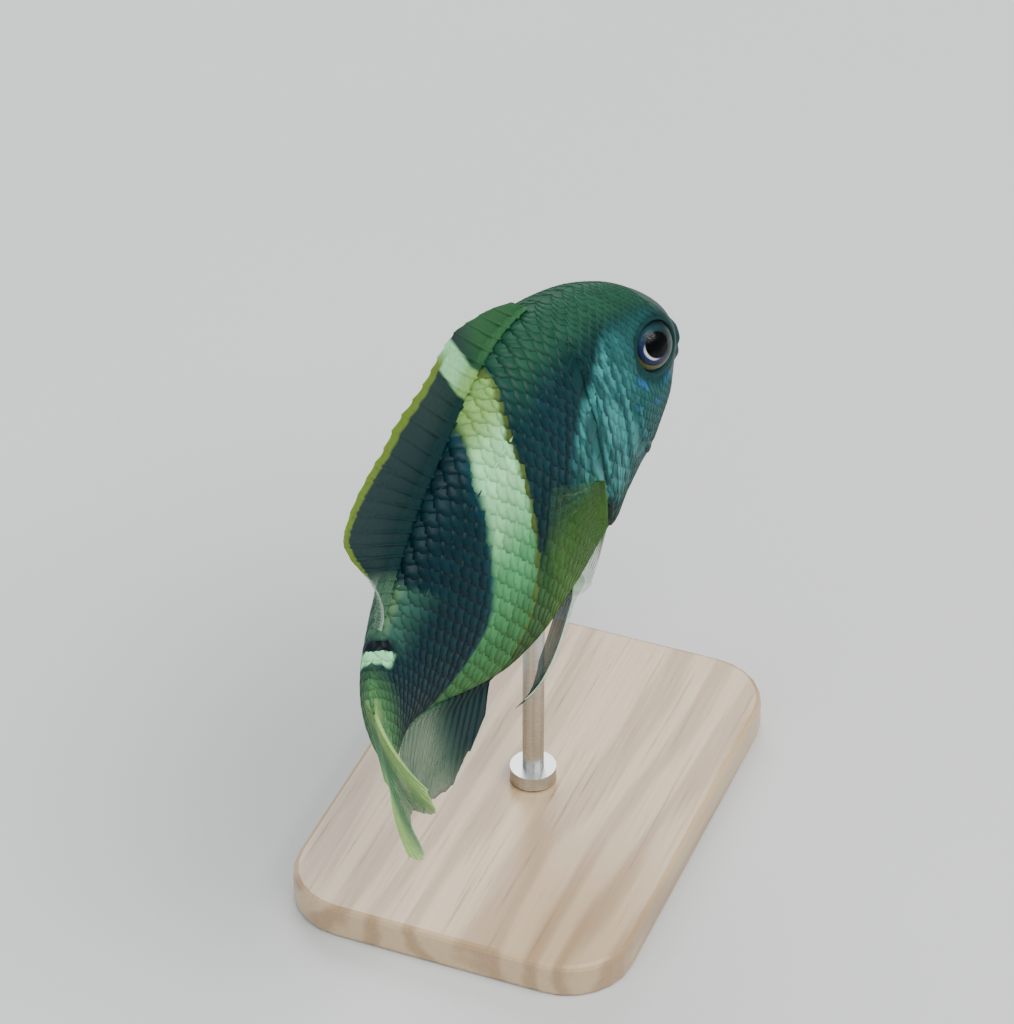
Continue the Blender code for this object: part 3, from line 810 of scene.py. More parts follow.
@dataclass(frozen=True)
class SkinFinish:
    """Moist bare skin between and under the scales."""

    markings: Markings
    darker: float = 0.80
    roughness: float = 0.48

    def material(self) -> bpy.types.Material:
        """Return the skin's material."""
        paint = Paint("moist_skin")
        colour = self.markings.colour(paint)
        mottle = paint.noise(paint.vector(*paint.mark("lie")), 340.0, 4.0, 0.6)
        paint.put(
            Base_Color=paint.shade(colour, mottle.step(0.3, 0.7, self.darker - 0.1, 1.05)),
            Roughness=mottle.step(0.3, 0.7, self.roughness - 0.07, self.roughness + 0.08),
            Specular_IOR_Level=0.12,
            Coat_Weight=0.02,
            Coat_Roughness=0.25,
            Subsurface_Weight=0.05,
            Subsurface_Radius=(0.001, 0.001, 0.0008),
        )
        paint.bumps(mottle, 0.5, 0.00006)
        return paint.material


@dataclass(frozen=True)
class ScaleFinish:
    """Scales: the body's colours, a paler middle, fine rings of growth and a wet gloss."""

    markings: Markings
    rings: float = 85.0
    spokes: float = 38.0
    roughness: float = 0.44

    def material(self) -> bpy.types.Material:
        """Return the scales' material."""
        paint = Paint("wet_scales")
        colour = self.markings.colour(paint)
        back, side, chance = paint.mark("plate")
        from_root = paint.math("SQRT", back * back + side * side * 0.55)
        edge = from_root.step(0.66, 0.98)
        tone = edge.step(0.0, 1.0, 1.05, 0.82) * chance.step(0.0, 1.0, 0.88, 1.14)
        growth = paint.math("SINE", from_root * self.rings)
        spokes = paint.math("SINE", side * self.spokes)
        paint.put(
            Base_Color=paint.shade(colour, tone),
            Roughness=chance.step(0.0, 1.0, self.roughness - 0.05, self.roughness + 0.07),
            Specular_IOR_Level=0.10,
            Coat_Weight=0.02,
            Coat_Roughness=0.20,
        )
        paint.bumps(growth * 0.5 + spokes * 0.25, 0.30, 0.00002)
        return paint.material


@dataclass(frozen=True)
class WebPlace:
    """Where a point lies on a fin's web: share along the root, share out, distance to the edge."""

    paint: Paint
    share: Tone
    out: Tone
    edge: Tone


@dataclass(frozen=True)
class FinFinish:
    """A fin's clear or dark web with its rays."""

    web: Web
    markings: Markings
    dark: Colour = (0.0025, 0.022, 0.024)
    front_olive: Colour = (0.028, 0.110, 0.040)
    ochre: Colour = (0.115, 0.190, 0.012)
    clear_web: Colour = (0.09, 0.22, 0.10)
    yellow_web: Colour = (0.34, 0.54, 0.17)
    grey_web: Colour = (0.07, 0.16, 0.10)
    olive_web: Colour = (0.045, 0.125, 0.018)
    breast_web: Colour = (0.060, 0.150, 0.030)
    pelvic_web: Colour = (0.014, 0.055, 0.050)
    white_edge: Colour = (0.50, 0.64, 0.52)
    ray_hold: float = 0.75

    def material(self) -> bpy.types.Material:
        """Return the fin's material."""
        paint = Paint(self.web.value + "_fin_web")
        share, out, edge = paint.mark("web")
        ray, along, _ = paint.mark("ray")
        joints = paint.math("SINE", along * 1500.0)
        grain = paint.noise(paint.vector(share, out * 0.4), 60.0, 4.0, 0.6)
        look = {
            Web.DORSAL: self._dorsal,
            Web.ANAL: self._anal,
            Web.TAIL: self._tail,
            Web.PECTORAL: self._pectoral,
            Web.PELVIC: self._pelvic,
        }[self.web]
        colour, clear = look(WebPlace(paint, share, out, edge))
        tone = grain.step(0.3, 0.7, 0.84, 1.14) * (ray * joints).step(-0.6, 0.6, 0.9, 1.06)
        solid = (ray * self.ray_hold).at_least(1.0 - clear).at_least(out.step(0.10, 0.0))
        paint.put(
            Base_Color=paint.shade(colour, tone),
            Alpha=solid.at_most(1.0),
            Roughness=grain.step(0.3, 0.7, 0.42, 0.54),
            Specular_IOR_Level=0.16,
            Coat_Weight=0.02,
            Coat_Roughness=0.25,
        )
        paint.bumps(grain * 0.6 + ray * (joints * 0.2), 0.35, 0.00005)
        return paint.material

    def _dorsal(self, at: WebPlace) -> tuple[Socket, Tone]:
        """Return colour and clearness of the dorsal fin."""
        s, up, _ = at.paint.mark("lie")
        body = self.markings
        in_bar = (0.031 - abs(s - ((up - 0.222) * 0.515 + 0.4975))).step(-0.004, 0.006)
        end = at.share.step(0.84, 0.90)
        margin = at.edge.step(0.0240, 0.0150) * at.share.step(0.24, 0.33) * at.share.step(0.90, 0.83)
        tip = at.edge.step(0.010, 0.004) * at.share.step(0.83, 0.90)
        colour = at.paint.layers(
            self.front_olive,
            (s.step(0.42, 0.52), self.dark),
            (in_bar, at.paint.mix(up.step(0.225, 0.265), body.bar_crest, body.bar_high)),
            (end, self.grey_web),
            (margin, self.ochre),
            (tip * 0.6, self.white_edge),
        )
        return colour, end * 0.45

    def _anal(self, at: WebPlace) -> tuple[Socket, Tone]:
        """Return colour and clearness of the anal fin."""
        rear = (at.share + at.out * 0.45).step(0.42, 0.80)
        line = at.edge.step(0.006, 0.003) * at.share.step(0.55, 0.35)
        colour = at.paint.layers(self.dark, (rear, self.grey_web), (line * 0.7, self.markings.bar_rear))
        return colour, rear * 0.42

    def _tail(self, at: WebPlace) -> tuple[Socket, Tone]:
        """Return colour and clearness of the tail fin."""
        lobes = abs(at.share - 0.5).step(0.15, 0.42)
        root = at.out.step(0.30, 0.0)
        colour = at.paint.layers(
            self.clear_web, (lobes, self.yellow_web), (root * 0.8, self.markings.stalk_end)
        )
        clear = at.out.step(0.10, 0.45) * lobes.step(0.0, 1.0, 0.45, 0.22)
        # Painted light: the lower lobe is painted lighter and the upper lobe darker.
        return at.paint.shade(colour, at.share.step(0.25, 0.75, 1.45, 0.85)), clear

    def _pectoral(self, at: WebPlace) -> tuple[Socket, Tone]:
        """Return colour and clearness of a pectoral fin."""
        clear = at.out.step(0.0, 0.75, 0.34, 0.86) + at.share.step(0.45, 0.0, 0.0, 0.30)
        return at.paint.mix(at.out, self.olive_web, self.breast_web), clear.at_most(0.92)

    def _pelvic(self, at: WebPlace) -> tuple[Socket, Tone]:
        """Return colour and clearness of a pelvic fin."""
        lead = at.share.step(0.10, 0.02)
        return at.paint.mix(lead, self.pelvic_web, self.white_edge), lead.step(1.0, 0.0) * 0.40


@dataclass(frozen=True)
class EyeFinish:
    """The ball of the eye: black pupil with violet and gold rings, and painted light: a white crescent on
    the lit side of the pupil's rim, a painted pale blue highlight at the top, and the rings painted dull
    on the side away from the light.
    """

    pupil: Colour = (0.002, 0.002, 0.003)
    # The white is painted light on the pupil's rim, and the pale blue below is a painted highlight.
    white: Colour = (0.80, 0.88, 0.86)
    pale_blue_highlight: Colour = (0.010, 0.060, 0.085)
    violet: Colour = (0.018, 0.026, 0.110)
    gold: Colour = (0.15, 0.145, 0.045)
    dull_ring: Colour = (0.004, 0.020, 0.022)
    ball: Colour = (0.03, 0.04, 0.06)

    def material(self) -> bpy.types.Material:
        """Return the eyeball's material."""
        paint = Paint("iris_and_pupil")
        ring, cosine, sine = paint.mark("iris")
        streaks = paint.noise(paint.vector(cosine, sine, ring), 9.0, 4.0, 0.6)
        wobble = ring + (streaks - 0.5) * 0.02
        # The lit side of the eye, behind and below: the white crescent there is painted light on the
        # pupil's rim, the violet and gold rings show only on this side and are painted dull in shade on
        # the other, and the pale blue at the top is a painted highlight.
        lit_side = sine * -0.47 + cosine * 0.88
        crescent = lit_side.step(0.50, 0.97)
        hue = paint.layers(
            self.dull_ring,
            (lit_side.step(-0.10, 0.75), self.violet),
            (sine.step(0.30, 0.95) * 0.6, self.pale_blue_highlight),
        )
        gold = paint.mix(lit_side.step(-0.20, 0.55), self.dull_ring, self.gold)
        colour = paint.layers(
            self.pupil,
            (wobble.step(0.548, 0.562), paint.mix(crescent, hue, self.white)),
            ((wobble - crescent * 0.060).step(0.575, 0.605), hue),
            (wobble.step(0.780, 0.840), self.dull_ring),
            (wobble.step(0.850, 0.890), gold),
            (wobble.step(1.000, 1.040), self.ball),
        )
        lit = ring.step(0.55, 0.58) * ring.step(1.03, 0.98)
        paint.put(
            Base_Color=paint.shade(colour, streaks.step(0.3, 0.7, 0.80, 1.12)),
            Roughness=ring.step(0.50, 0.56, 0.12, 0.40),
            Metallic=lit * 0.08,
            Specular_IOR_Level=ring.step(0.50, 0.56, 0.10, 0.20),
        )
        paint.bumps(streaks, 0.25, 0.00003)
        return paint.material


@dataclass(frozen=True)
class CorneaFinish:
    """The clear wet dome over the eye."""

    roughness: float = 0.03

    def material(self) -> bpy.types.Material:
        """Return the cornea's material: a thin clear shell with a sharp gloss."""
        paint = Paint("clear_cornea")
        from_pole, _, _ = paint.mark("iris")
        paint.put(
            Base_Color=(0.0, 0.0, 0.0),
            Roughness=self.roughness,
            Alpha=from_pole.step(0.2, 1.0, 0.04, 0.07),
            Specular_IOR_Level=0.5,
        )
        return paint.material


@dataclass(frozen=True)
class WoodFinish:
    """Pale planed hardwood with long fine grain under a satin varnish."""

    early: Colour = (0.56, 0.40, 0.24)
    late: Colour = (0.33, 0.20, 0.10)
    ring_scale: float = 46.0

    def material(self) -> bpy.types.Material:
        """Return the wood's material."""
        paint = Paint("planed_hardwood")
        x, y, z = paint.place()
        slow = paint.noise(paint.vector(x * 9.0, y * 60.0, z * 60.0), 1.0, 3.0)
        rings = paint.math("SINE", y * (self.ring_scale * 22.0) + slow * 26.0)
        streak = paint.noise(paint.vector(x * 60.0, y * 2600.0, z * 2600.0), 1.0, 4.0, 0.7)
        pores = streak.step(0.60, 0.72)
        share = rings.step(-0.6, 1.0, 0.0, 0.7) + (streak - 0.5) * 0.6
        colour = paint.mix(paint.math("MAXIMUM", share, 0.0, True), self.early, self.late)
        paint.put(
            Base_Color=paint.shade(colour, pores.step(0.0, 1.0, 1.0, 0.72)),
            Roughness=streak.step(0.3, 0.7, 0.30, 0.44),
            Coat_Weight=0.3,
            Coat_Roughness=0.25,
        )
        paint.bumps(streak * 0.4 - pores, 0.35, 0.00004)
        return paint.material


@dataclass(frozen=True)
class SteelFinish:
    """Brushed steel with fine turned lines."""

    base: Colour = (0.56, 0.57, 0.57)

    def material(self) -> bpy.types.Material:
        """Return the steel's material."""
        paint = Paint("brushed_steel")
        x, y, z = paint.place()
        lines = paint.noise(paint.vector(x * 90.0, y * 90.0, z * 9000.0), 1.0, 3.0, 0.6)
        paint.put(
            Base_Color=paint.shade(self.base, lines.step(0.3, 0.7, 0.82, 1.08)),
            Metallic=1.0,
            Roughness=lines.step(0.3, 0.7, 0.24, 0.40),
            Anisotropic=0.4,
        )
        paint.bumps(lines, 0.25, 0.00002)
        return paint.material


@dataclass(frozen=True)
class FloorFinish:
    """A plain pale matt floor."""

    base: Colour = (0.62, 0.63, 0.62)

    def material(self) -> bpy.types.Material:
        """Return the floor's material."""
        paint = Paint("matt_floor")
        cloud = paint.noise(paint.vector(*paint.place()), 6.0, 4.0)
        paint.put(Base_Color=paint.shade(self.base, cloud.step(0.3, 0.7, 0.98, 1.01)), Roughness=0.75)
        return paint.material


# Skin


@dataclass
class Skin:
    """One skin over head, trunk and tail stalk, with the sockets of the eyes."""

    body: BodyForm
    head: HeadForms
    finish: SkinFinish
    depth: float = 0.0014
    orbit_axis: tuple[float, float, float] = (0.049, 0.148, 0.988)
    orbit_plane: float = 0.0190
    orbit_open: float = 0.0375
    orbit_lip: float = 0.0020
    socket_floor: float = 0.0040
    end_s: float = 1.010
    end_low: float = 0.07
    end_narrow: float = 0.52
    end_close: float = 0.35
    name: str = "skin"

    def stations(self) -> Array:
        """Return the stations of the rings, close together on the head."""
        head = np.arange(0.0008, 0.200, 0.00165)
        cover = np.arange(0.200, 0.350, 0.0026)
        trunk = np.arange(0.350, 0.986, 0.0075)
        return np.concatenate([head, cover, trunk, np.linspace(0.986, self.end_s, 7)])

    def angles(self) -> Array:
        """Return the angles of the columns, close together by the eye and the mouth."""
        half = np.concatenate(
            [
                np.arange(0.0, 40.0, 2.5),
                np.arange(40.0, 128.0, 0.85),
                np.arange(128.0, 180.0, 2.2),
                [180.0],
            ]
        )
        return np.radians(np.concatenate([half, 360.0 - half[-2:0:-1]]))

    def surface(self, s: Array, t: Array, full: bool = True) -> tuple[Array, Array]:
        """Return up and right of the skin.

        Args:
            s: Stations.
            t: Angles round the body.
            full: Whether the fine forms and the sockets are included.

        Returns:
            Heights and distances to the right.
        """
        plain_s = np.minimum(s, 1.0)
        up, right = self.body.flank(plain_s, t)
        up = up * (1 - self.end_low * smooth_step(s, 0.955, 1.005))
        narrow = self.end_narrow * smooth_step(s, 0.960, 1.006)
        right = right * (1 - narrow - self.end_close * smooth_step(s, 1.0, 1.04))
        rise = (self.head.full if full else self.head.smooth)(plain_s, t) - self.depth
        up = up + rise * np.cos(t)
        right = right + rise * np.sin(t)
        return up, np.sign(right) * self._round_the_eye(s, up, np.abs(right), full)

    def _round_the_eye(self, s: Array, up: Array, out: Array, socket: bool) -> Array:
        """Return the skin's distance from the middle, drawn level round the eye's opening.

        Args:
            s: Stations.
            up: Heights.
            out: Distances from the middle before the change.
            socket: Whether the skin inside the opening is sunk under the eyeball.

        Returns:
            The changed distances.
        """
        back, rise, outward = self.orbit_axis
        behind = s - self.body.eye_s
        above = up - self.body.eye_up
        level = (self.orbit_plane - behind * back - above * rise) / outward
        far = np.sqrt(np.maximum(behind**2 + above**2 + level**2 - self.orbit_plane**2, 0.0))
        near = 1 - smooth_step(far, self.orbit_open + 0.006, self.orbit_open + 0.034)
        lip = self.orbit_lip * bump(far, self.orbit_open + 0.0042, 0.0036)
        out = out + (self.body.eye_out + level - out) * near + lip
        if not socket:
            return out
        inside = smooth_step(self.orbit_open - far, -0.0010, 0.0014)
        bed = np.minimum(out, self.body.eye_out - self.socket_floor)
        return out + (bed - out) * inside

    def build(self) -> bpy.types.Object:
        """Return the skin's mesh, dressed and riding."""
        s, t = np.broadcast_arrays(self.stations()[:, None], self.angles()[None, :])
        up, right = self.surface(s, t)
        rows, columns = up.shape
        poles = self.body.place(
            np.array([0.0, self.end_s]), np.array([self.body.snout_up, 0.0]), np.zeros(2)
        )
        points = np.vstack([self.body.place(s, up, right).reshape(-1, 3), poles])
        plain_up, _ = self.body.flank(np.minimum(s, 1.0), t)
        marks = {
            "lie": np.stack([s, up, right], axis=-1),
            "round": self.body.round_marks(s, plain_up, t),
        }
        ends = {"lie": [[0, self.body.snout_up, 0], [1, 0, 0]], "round": [[0, 0.3, 0.2], [0, -1, 1]]}
        marks = {name: np.vstack([part.reshape(-1, 3), ends[name]]) for name, part in marks.items()}
        flat = np.vstack([unwrap_of(s, t).reshape(-1, 2), [[0.02, 0.5], [0.98, 0.5]]])
        quads = grid_faces(rows, columns, closed=True)
        obj = make_mesh(self.name, points, quads, end_fans(rows, columns), marks, flat)
        obj.data.materials.append(self.finish.material())
        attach(obj, BODY)
        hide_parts("head", "trunk", "tail_stalk")
        log.info("%s: %d points", self.name, len(points))
        return obj


def unwrap_of(s: Array, t: Array) -> Array:
    """Return the place of skin points on the flat unwrap: s along, the angle round upwards."""
    around = np.mod(t, 2 * math.pi) / (2 * math.pi)
    return np.stack([0.02 + 0.94 * np.clip(s, 0, 1.06) / 1.06, 0.02 + 0.96 * around], axis=-1)


# Scales


@dataclass
class Girth:
    """Lengths round one side of the body, measured along its surface from the back."""

    body: BodyForm
    stations: int = 197
    angles: int = 361
    shares: int = 241

    def __post_init__(self) -> None:
        """Measure the girth at stations along the body."""
        t = np.linspace(0.0, math.pi, self.angles)
        share = np.linspace(0.0, 1.0, self.shares)
        self.s = np.linspace(0.02, 1.0, self.stations)
        up, right = self.body.flank(self.s[:, None], t[None, :])
        steps = np.hypot(np.diff(up, axis=1), np.diff(right, axis=1))
        arc = np.concatenate([np.zeros((self.stations, 1)), np.cumsum(steps, axis=1)], axis=1)
        self.angle = np.array([np.interp(share, a / a[-1], t) for a in arc])
        self.to_middle = np.array([np.interp(math.pi / 2, t, a) for a in arc])
        self.to_belly = arc[:, -1]

    def arcs(self, s: Array) -> tuple[Array, Array]:
        """Return the lengths from the back to the middle of the flank, and to the belly."""
        return np.interp(s, self.s, self.to_middle), np.interp(s, self.s, self.to_belly)

    def angle_at(self, s: Array, v: Array) -> Array:
        """Return the angle round the body at a height along its surface.

        Args:
            s: Stations.
            v: Heights above the middle of the flank, measured along the surface.

        Returns:
            The angles, in radians from the back.
        """
        to_middle, to_belly = self.arcs(s)
        row = np.interp(s, self.s, np.arange(self.stations))
        share = np.clip((to_middle - v) / to_belly, 0.0, 1.0) * (self.shares - 1)
        r = np.clip(row.astype(int), 0, self.stations - 2)
        c = np.clip(share.astype(int), 0, self.shares - 2)
        past_r, past_c = row - r, share - c
        ahead = self.angle[r, c] * (1 - past_c) + self.angle[r, c + 1] * past_c
        behind = self.angle[r + 1, c] * (1 - past_c) + self.angle[r + 1, c + 1] * past_c
        return ahead * (1 - past_r) + behind * past_r


@dataclass
class ScaleCoat:
    """The scales of one side: overlapping plates with a toothed rear edge."""

    body: BodyForm
    skin: Skin
    side: Side
    finish: ScaleFinish
    pitch: float = 0.0268
    row_height: float = 0.0172
    overlap: float = 1.75
    half_wide: float = 1.42
    lift: float = 0.0012
    sink: float = 0.0009
    thick: float = 0.0004
    crown: float = 0.0002
    tooth: float = 0.035
    columns: int = 11
    rows: int = 4
    front: float = 0.45
    turn_spread: float = 0.035
    size_spread: float = 0.03
    rows_each_way: int = 22
    snout_clear: float = 0.118
    eye_clear: float = 0.054
    orbit_clear: float = 0.0475
    hide_depth: float = 0.0045
    mark_share: float = 0.55
    cover_top: float = 0.62
    first_s: float = 0.075
    last_s: float = 1.030
    seed: int = 7

    def size_at(self, s: Array | float) -> Array:
        """Return the scales' size at stations, as a share of the largest."""
        stations = (0.0, 0.10, 0.22, 0.33, 0.50, 0.80, 1.0, 1.1)
        return smooth_line(stations, (0.36, 0.42, 0.66, 0.92, 1.0, 0.86, 0.56, 0.45), s)

    def sites(self) -> tuple[Array, Array]:
        """Return station and height along the surface of each scale's root."""
        s = np.linspace(self.first_s, self.last_s, 800)
        size = (self.size_at(s[1:]) + self.size_at(s[:-1])) / 2
        cells = np.concatenate([[0.0], np.cumsum(np.diff(s) / (self.pitch * size))])
        count = int(cells[-1])
        found_s: list[float] = []
        found_v: list[float] = []
        for row in range(-self.rows_each_way, self.rows_each_way + 1):
            for k in range(count):
                at = float(np.interp(k + 0.5 * (row % 2), cells, s))
                found_s.append(at)
                found_v.append(row * self.row_height * float(self.size_at(at)))
        return np.array(found_s), np.array(found_v)

    def _shown(self, girth: Girth, s: Array, v: Array, t: Array) -> Array:
        """Return whether the scale rooted at each site shows on the body."""
        up, _ = self.body.flank(np.minimum(s, 1.0), t)
        to_middle, to_belly = girth.arcs(s)
        ahead = self.body.gill_edge(t) - s
        spare = 0.2 * self.row_height
        return (
            (v < to_middle + spare)
            & (v > to_middle - to_belly - spare)
            & (self.body.from_eye(s, up) > self.eye_clear)
            & ((ahead < -0.002) | (ahead > 0.016) | (np.cos(t) > self.cover_top))
            & (s + 0.55 * np.abs(up - 0.03) > self.snout_clear)
        )

    def _plate(self) -> tuple[Array, Array]:
        """Return how far back and how far aside each point of a plate lies from its root."""
        b = np.linspace(-1.0, 1.0, self.columns)
        teeth = self.tooth * ((np.arange(self.columns) % 2) * 2 - 1) * (np.abs(b) < 0.85)
        out = np.linspace(0.0, 1.0, self.rows)[:, None]
        a = (np.sqrt(1 - b**2) + teeth + self.front)[None, :] * out - self.front
        return a, np.broadcast_to(b, a.shape)

    def build(self) -> bpy.types.Object:
        """Return the scales of the side as one dressed mesh that rides."""
        girth = Girth(self.body)
        root_s, root_v = self.sites()
        root_t = girth.angle_at(root_s, root_v)
        shown = self._shown(girth, root_s, root_v, root_t)
        root_s, root_v, root_t = (part[shown, None, None] for part in (root_s, root_v, root_t))
        draw = np.random.default_rng(self.seed + self.side.value)
        chance = draw.random(root_s.shape)
        turn = draw.normal(0.0, self.turn_spread, root_s.shape)
        grow = draw.normal(1.0, self.size_spread, root_s.shape)
        a, b = self._plate()
        size = self.size_at(root_s)
        along = a * (self.pitch * self.overlap / (1 + self.front) * size * grow)
        across = b * (self.row_height * self.half_wide * size * grow)
        s = root_s + along * np.cos(turn) - across * np.sin(turn)
        v = root_v + along * np.sin(turn) + across * np.cos(turn)
        return self._mesh(s, girth.angle_at(s, v), a, b, size, root_s, root_t, chance)

    def _lift(self, s: Array, t: Array, a: Array, b: Array, size: Array, root_ahead: Array) -> Array:
        """Return how far the plates' points stand off the skin, sunk where gill cover and eye are."""
        profile = smooth_line((-self.front, 0.0, 0.4, 1.1), (-self.sink, 0.0002, 0.0007, self.lift), a)
        lift = (profile - self.crown * b**2) * (0.55 + 0.45 * size)
        up, _ = self.body.flank(np.minimum(s, 1.0), t)
        ahead = self.body.gill_edge(t) - s
        under_cover = (root_ahead < 0) & (ahead > -0.003)
        past_cover = (root_ahead > 0) & (ahead < 0.007)
        in_orbit = self.body.from_eye(s, up) < self.orbit_clear
        hidden = ((under_cover | past_cover) & (np.cos(t) < self.cover_top)) | in_orbit
        return np.where(hidden, -self.hide_depth, lift)

    def _mesh(
        self, s: Array, t: Array, a: Array, b: Array, size: Array,
        root_s: Array, root_t: Array, chance: Array,
    ) -> bpy.types.Object:
        """Return the mesh of the plates from their places on the skin."""
        side = self.side.value
        count, rows, columns = s.shape
        per = rows * columns
        rim = rim_of(rows, columns)
        lift = self._lift(s, t, a, b, size, self.body.gill_edge(root_t) - root_s)
        normal, places, up, right = self.skin_frame(s, t, side)
        top, low = (
            (places + normal * (height * self.body.length)[..., None]).reshape(count, per, 3)
            for height in (lift, lift - self.thick)
        )
        points = np.concatenate([top, low[:, rim]], axis=1)
        quads, triangles = self._plate_faces(rows, columns, rim, side)
        flat_quads = np.tile(np.arange(len(quads)) >= (rows - 1) * (columns - 1), count)
        flat = np.concatenate([flat_quads, np.ones(len(triangles) * count, bool)])
        starts = (np.arange(count) * points.shape[1])[:, None, None]
        quads = (quads[None] + starts).reshape(-1, 4)
        triangles = (triangles[None] + starts).reshape(-1, 3)
        take = np.concatenate([np.arange(per), rim])

        def spread(marks: Array) -> Array:
            """Return marks of the top points, carried to the rim's lower points too."""
            return marks.reshape(count, per, 3)[:, take].reshape(-1, 3)

        plain_up, _ = self.body.flank(np.minimum(s, 1.0), t)
        mark_s = root_s * (1 - self.mark_share) + s * self.mark_share
        marks = {
            "lie": spread(np.stack([mark_s, up, right * side], axis=-1)),
            "round": spread(self.body.round_marks(s, plain_up, t)),
            "plate": spread(np.stack(np.broadcast_arrays(a, b, chance), axis=-1)),
        }
        patch = np.stack([a / (1 + self.front) * PATCH, b * PATCH / 2], axis=-1)
        unwrap = (unwrap_of(root_s, root_t * side) + patch).reshape(count, per, 2)[:, take].reshape(-1, 2)
        name = "scales_" + self.side.word
        obj = make_mesh(name, points.reshape(-1, 3), quads, triangles, marks, unwrap, flat)
        obj.data.materials.append(self.finish.material())
        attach(obj, BODY)
        log.info("%s: %d scales, %d faces", name, count, len(obj.data.polygons))
        return obj

    def skin_frame(self, s: Array, t: Array, side: int) -> tuple[Array, Array, Array, Array]:
        """Return the skin's outward normal, place, up and right under the scales."""
        step = 0.002
        up, right = self.skin.surface(s, t, full=False)
        up_s, right_s = self.skin.surface(s + step, t, full=False)
        nudge = np.where(t < math.pi / 2, step * 4, -step * 4)
        up_t, right_t = self.skin.surface(s, t + nudge, full=False)
        here = self.body.place(s, up, right * side)
        along = self.body.place(s + step, up_s, right_s * side) - here
        around = (self.body.place(s, up_t, right_t * side) - here) * np.sign(nudge)[..., None]
        normal = np.cross(around, along) * side
        normal /= np.maximum(np.linalg.norm(normal, axis=-1, keepdims=True), 1e-12)
        spine = self.body.place(s, self.body.oval(s)[0], 0.0)
        inward = np.sum(normal * (here - spine), axis=-1, keepdims=True) < 0
        return np.where(inward, -normal, normal), here, up, right

    def _plate_faces(self, rows: int, columns: int, rim: Array, side: int) -> tuple[Array, Array]:
        """Return the faces of one closed plate: top, edge and under side."""
        per = rows * columns
        top = grid_faces(rows, columns)
        low = per + np.arange(len(rim))
        turn = np.roll(np.arange(len(rim)), -1)
        edge = np.stack([rim, low, low[turn], rim[turn]], axis=1)
        count = len(rim)
        triangles = []
        i, j = 1, count - 1
        while j - i > 1:
            if len(triangles) % 2 == 0:
                triangles.append((low[(j + 1) % count], low[i], low[j]))
                j -= 1
            else:
                triangles.append((low[j + 1], low[i], low[i + 1]))
                i += 1
        triangles.append((low[j + 1], low[i], low[j]))
        three = np.array(triangles)
        if side < 0:
            top, edge, three = top[:, ::-1], edge[:, ::-1], three[:, ::-1]
        return np.vstack([top, edge]), three


@dataclass
class LateralLine:
    """The lateral line of one side: short raised tubes on the scales below the back fin."""

    body: BodyForm
    coat: ScaleCoat
    side: Side
    finish: ScaleFinish
    first_s: float = 0.345
    last_s: float = 0.800
    spacing: float = 0.0255
    tube_length: float = 0.0125
    radius: float = 0.0015
    flatness: float = 0.35
    drop_front: float = 0.066
    drop_rear: float = 0.040
    rings: int = 7
    around: int = 8

    def angle_at(self, s: Array) -> Array:
        """Return the angle round the body at which the line runs."""
        share = (s - self.first_s) / (self.last_s - self.first_s)
        up = self.body.back(s) - self.drop_front - (self.drop_rear - self.drop_front) * share
        middle, height = self.body.oval(s)
        return np.arccos(np.clip((up - middle) / height, -1.0, 1.0))

    def _faces(self, count: int) -> tuple[Array, Array]:
        """Return the faces of the tubes: their walls, and the fans that close both ends."""
        ring = np.arange(self.around)
        after = (ring + 1) % self.around
        last = (self.rings - 1) * self.around
        quads = []
        triangles = []
        for start in range(0, count * self.rings * self.around, self.rings * self.around):
            quads.append(grid_faces(self.rings, self.around, start, closed=True))
            for end, a, b in ((start, after, ring), (start + last, ring, after)):
                first = np.full(self.around - 2, end)
                triangles.append(np.stack([first, end + a[1:-1], end + b[1:-1]], axis=1))
        return np.vstack(quads), np.vstack(triangles)

    def build(self) -> bpy.types.Object:
        """Return the tubes as one dressed mesh that rides."""
        side = self.side.value
        starts = np.arange(self.first_s, self.last_s, self.spacing)
        u = np.linspace(0.0, 1.0, self.rings)
        turn = np.linspace(0.0, 2 * math.pi, self.around, endpoint=False)
        s = starts[:, None, None] + self.tube_length * u[None, :, None]
        s = np.broadcast_to(s, (len(starts), self.rings, self.around))
        t = self.angle_at(s)
        normal, here, up, right = self.coat.skin_frame(s, t, side)
        _, beside, _, _ = self.coat.skin_frame(s, t + 0.01, side)
        across = beside - here
        across /= np.linalg.norm(across, axis=-1, keepdims=True)
        swell = self.radius * (0.62 + 0.38 * u) * np.sqrt(1 - 0.8 * (2 * u - 1) ** 6)
        swell = swell[None, :, None]
        rise = self.coat.lift + self.flatness * swell * np.sin(turn)
        offset = normal * rise[..., None] + across * (swell * np.cos(turn))[..., None]
        places = here + offset * self.body.length
        marks = {
            "lie": np.stack([s, up, right * side], axis=-1).reshape(-1, 3),
            "round": self.body.round_marks(s, up, t).reshape(-1, 3),
            "plate": np.broadcast_to([0.25, 0.0, 0.6], (*s.shape, 3)).reshape(-1, 3),
        }
        past_start = (s - starts[:, None, None]) / self.tube_length
        patch = PATCH * np.stack(np.broadcast_arrays(past_start, np.cos(turn) / 2), axis=-1)
        root = unwrap_of(starts, self.angle_at(starts) * side)
        unwrap = (root[:, None, None, :] + patch).reshape(-1, 2)
        name = "lateral_line_" + self.side.word
        obj = make_mesh(name, places.reshape(-1, 3), *self._faces(len(starts)), marks, unwrap)
        outward_side_out(obj)
        obj.data.materials.append(self.finish.material())
        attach(obj, BODY)
        log.info("%s: %d tubes", name, len(starts))
        return obj


# Fins


FinPath = Callable[[Array, Array], tuple[Array, Array, Array]]


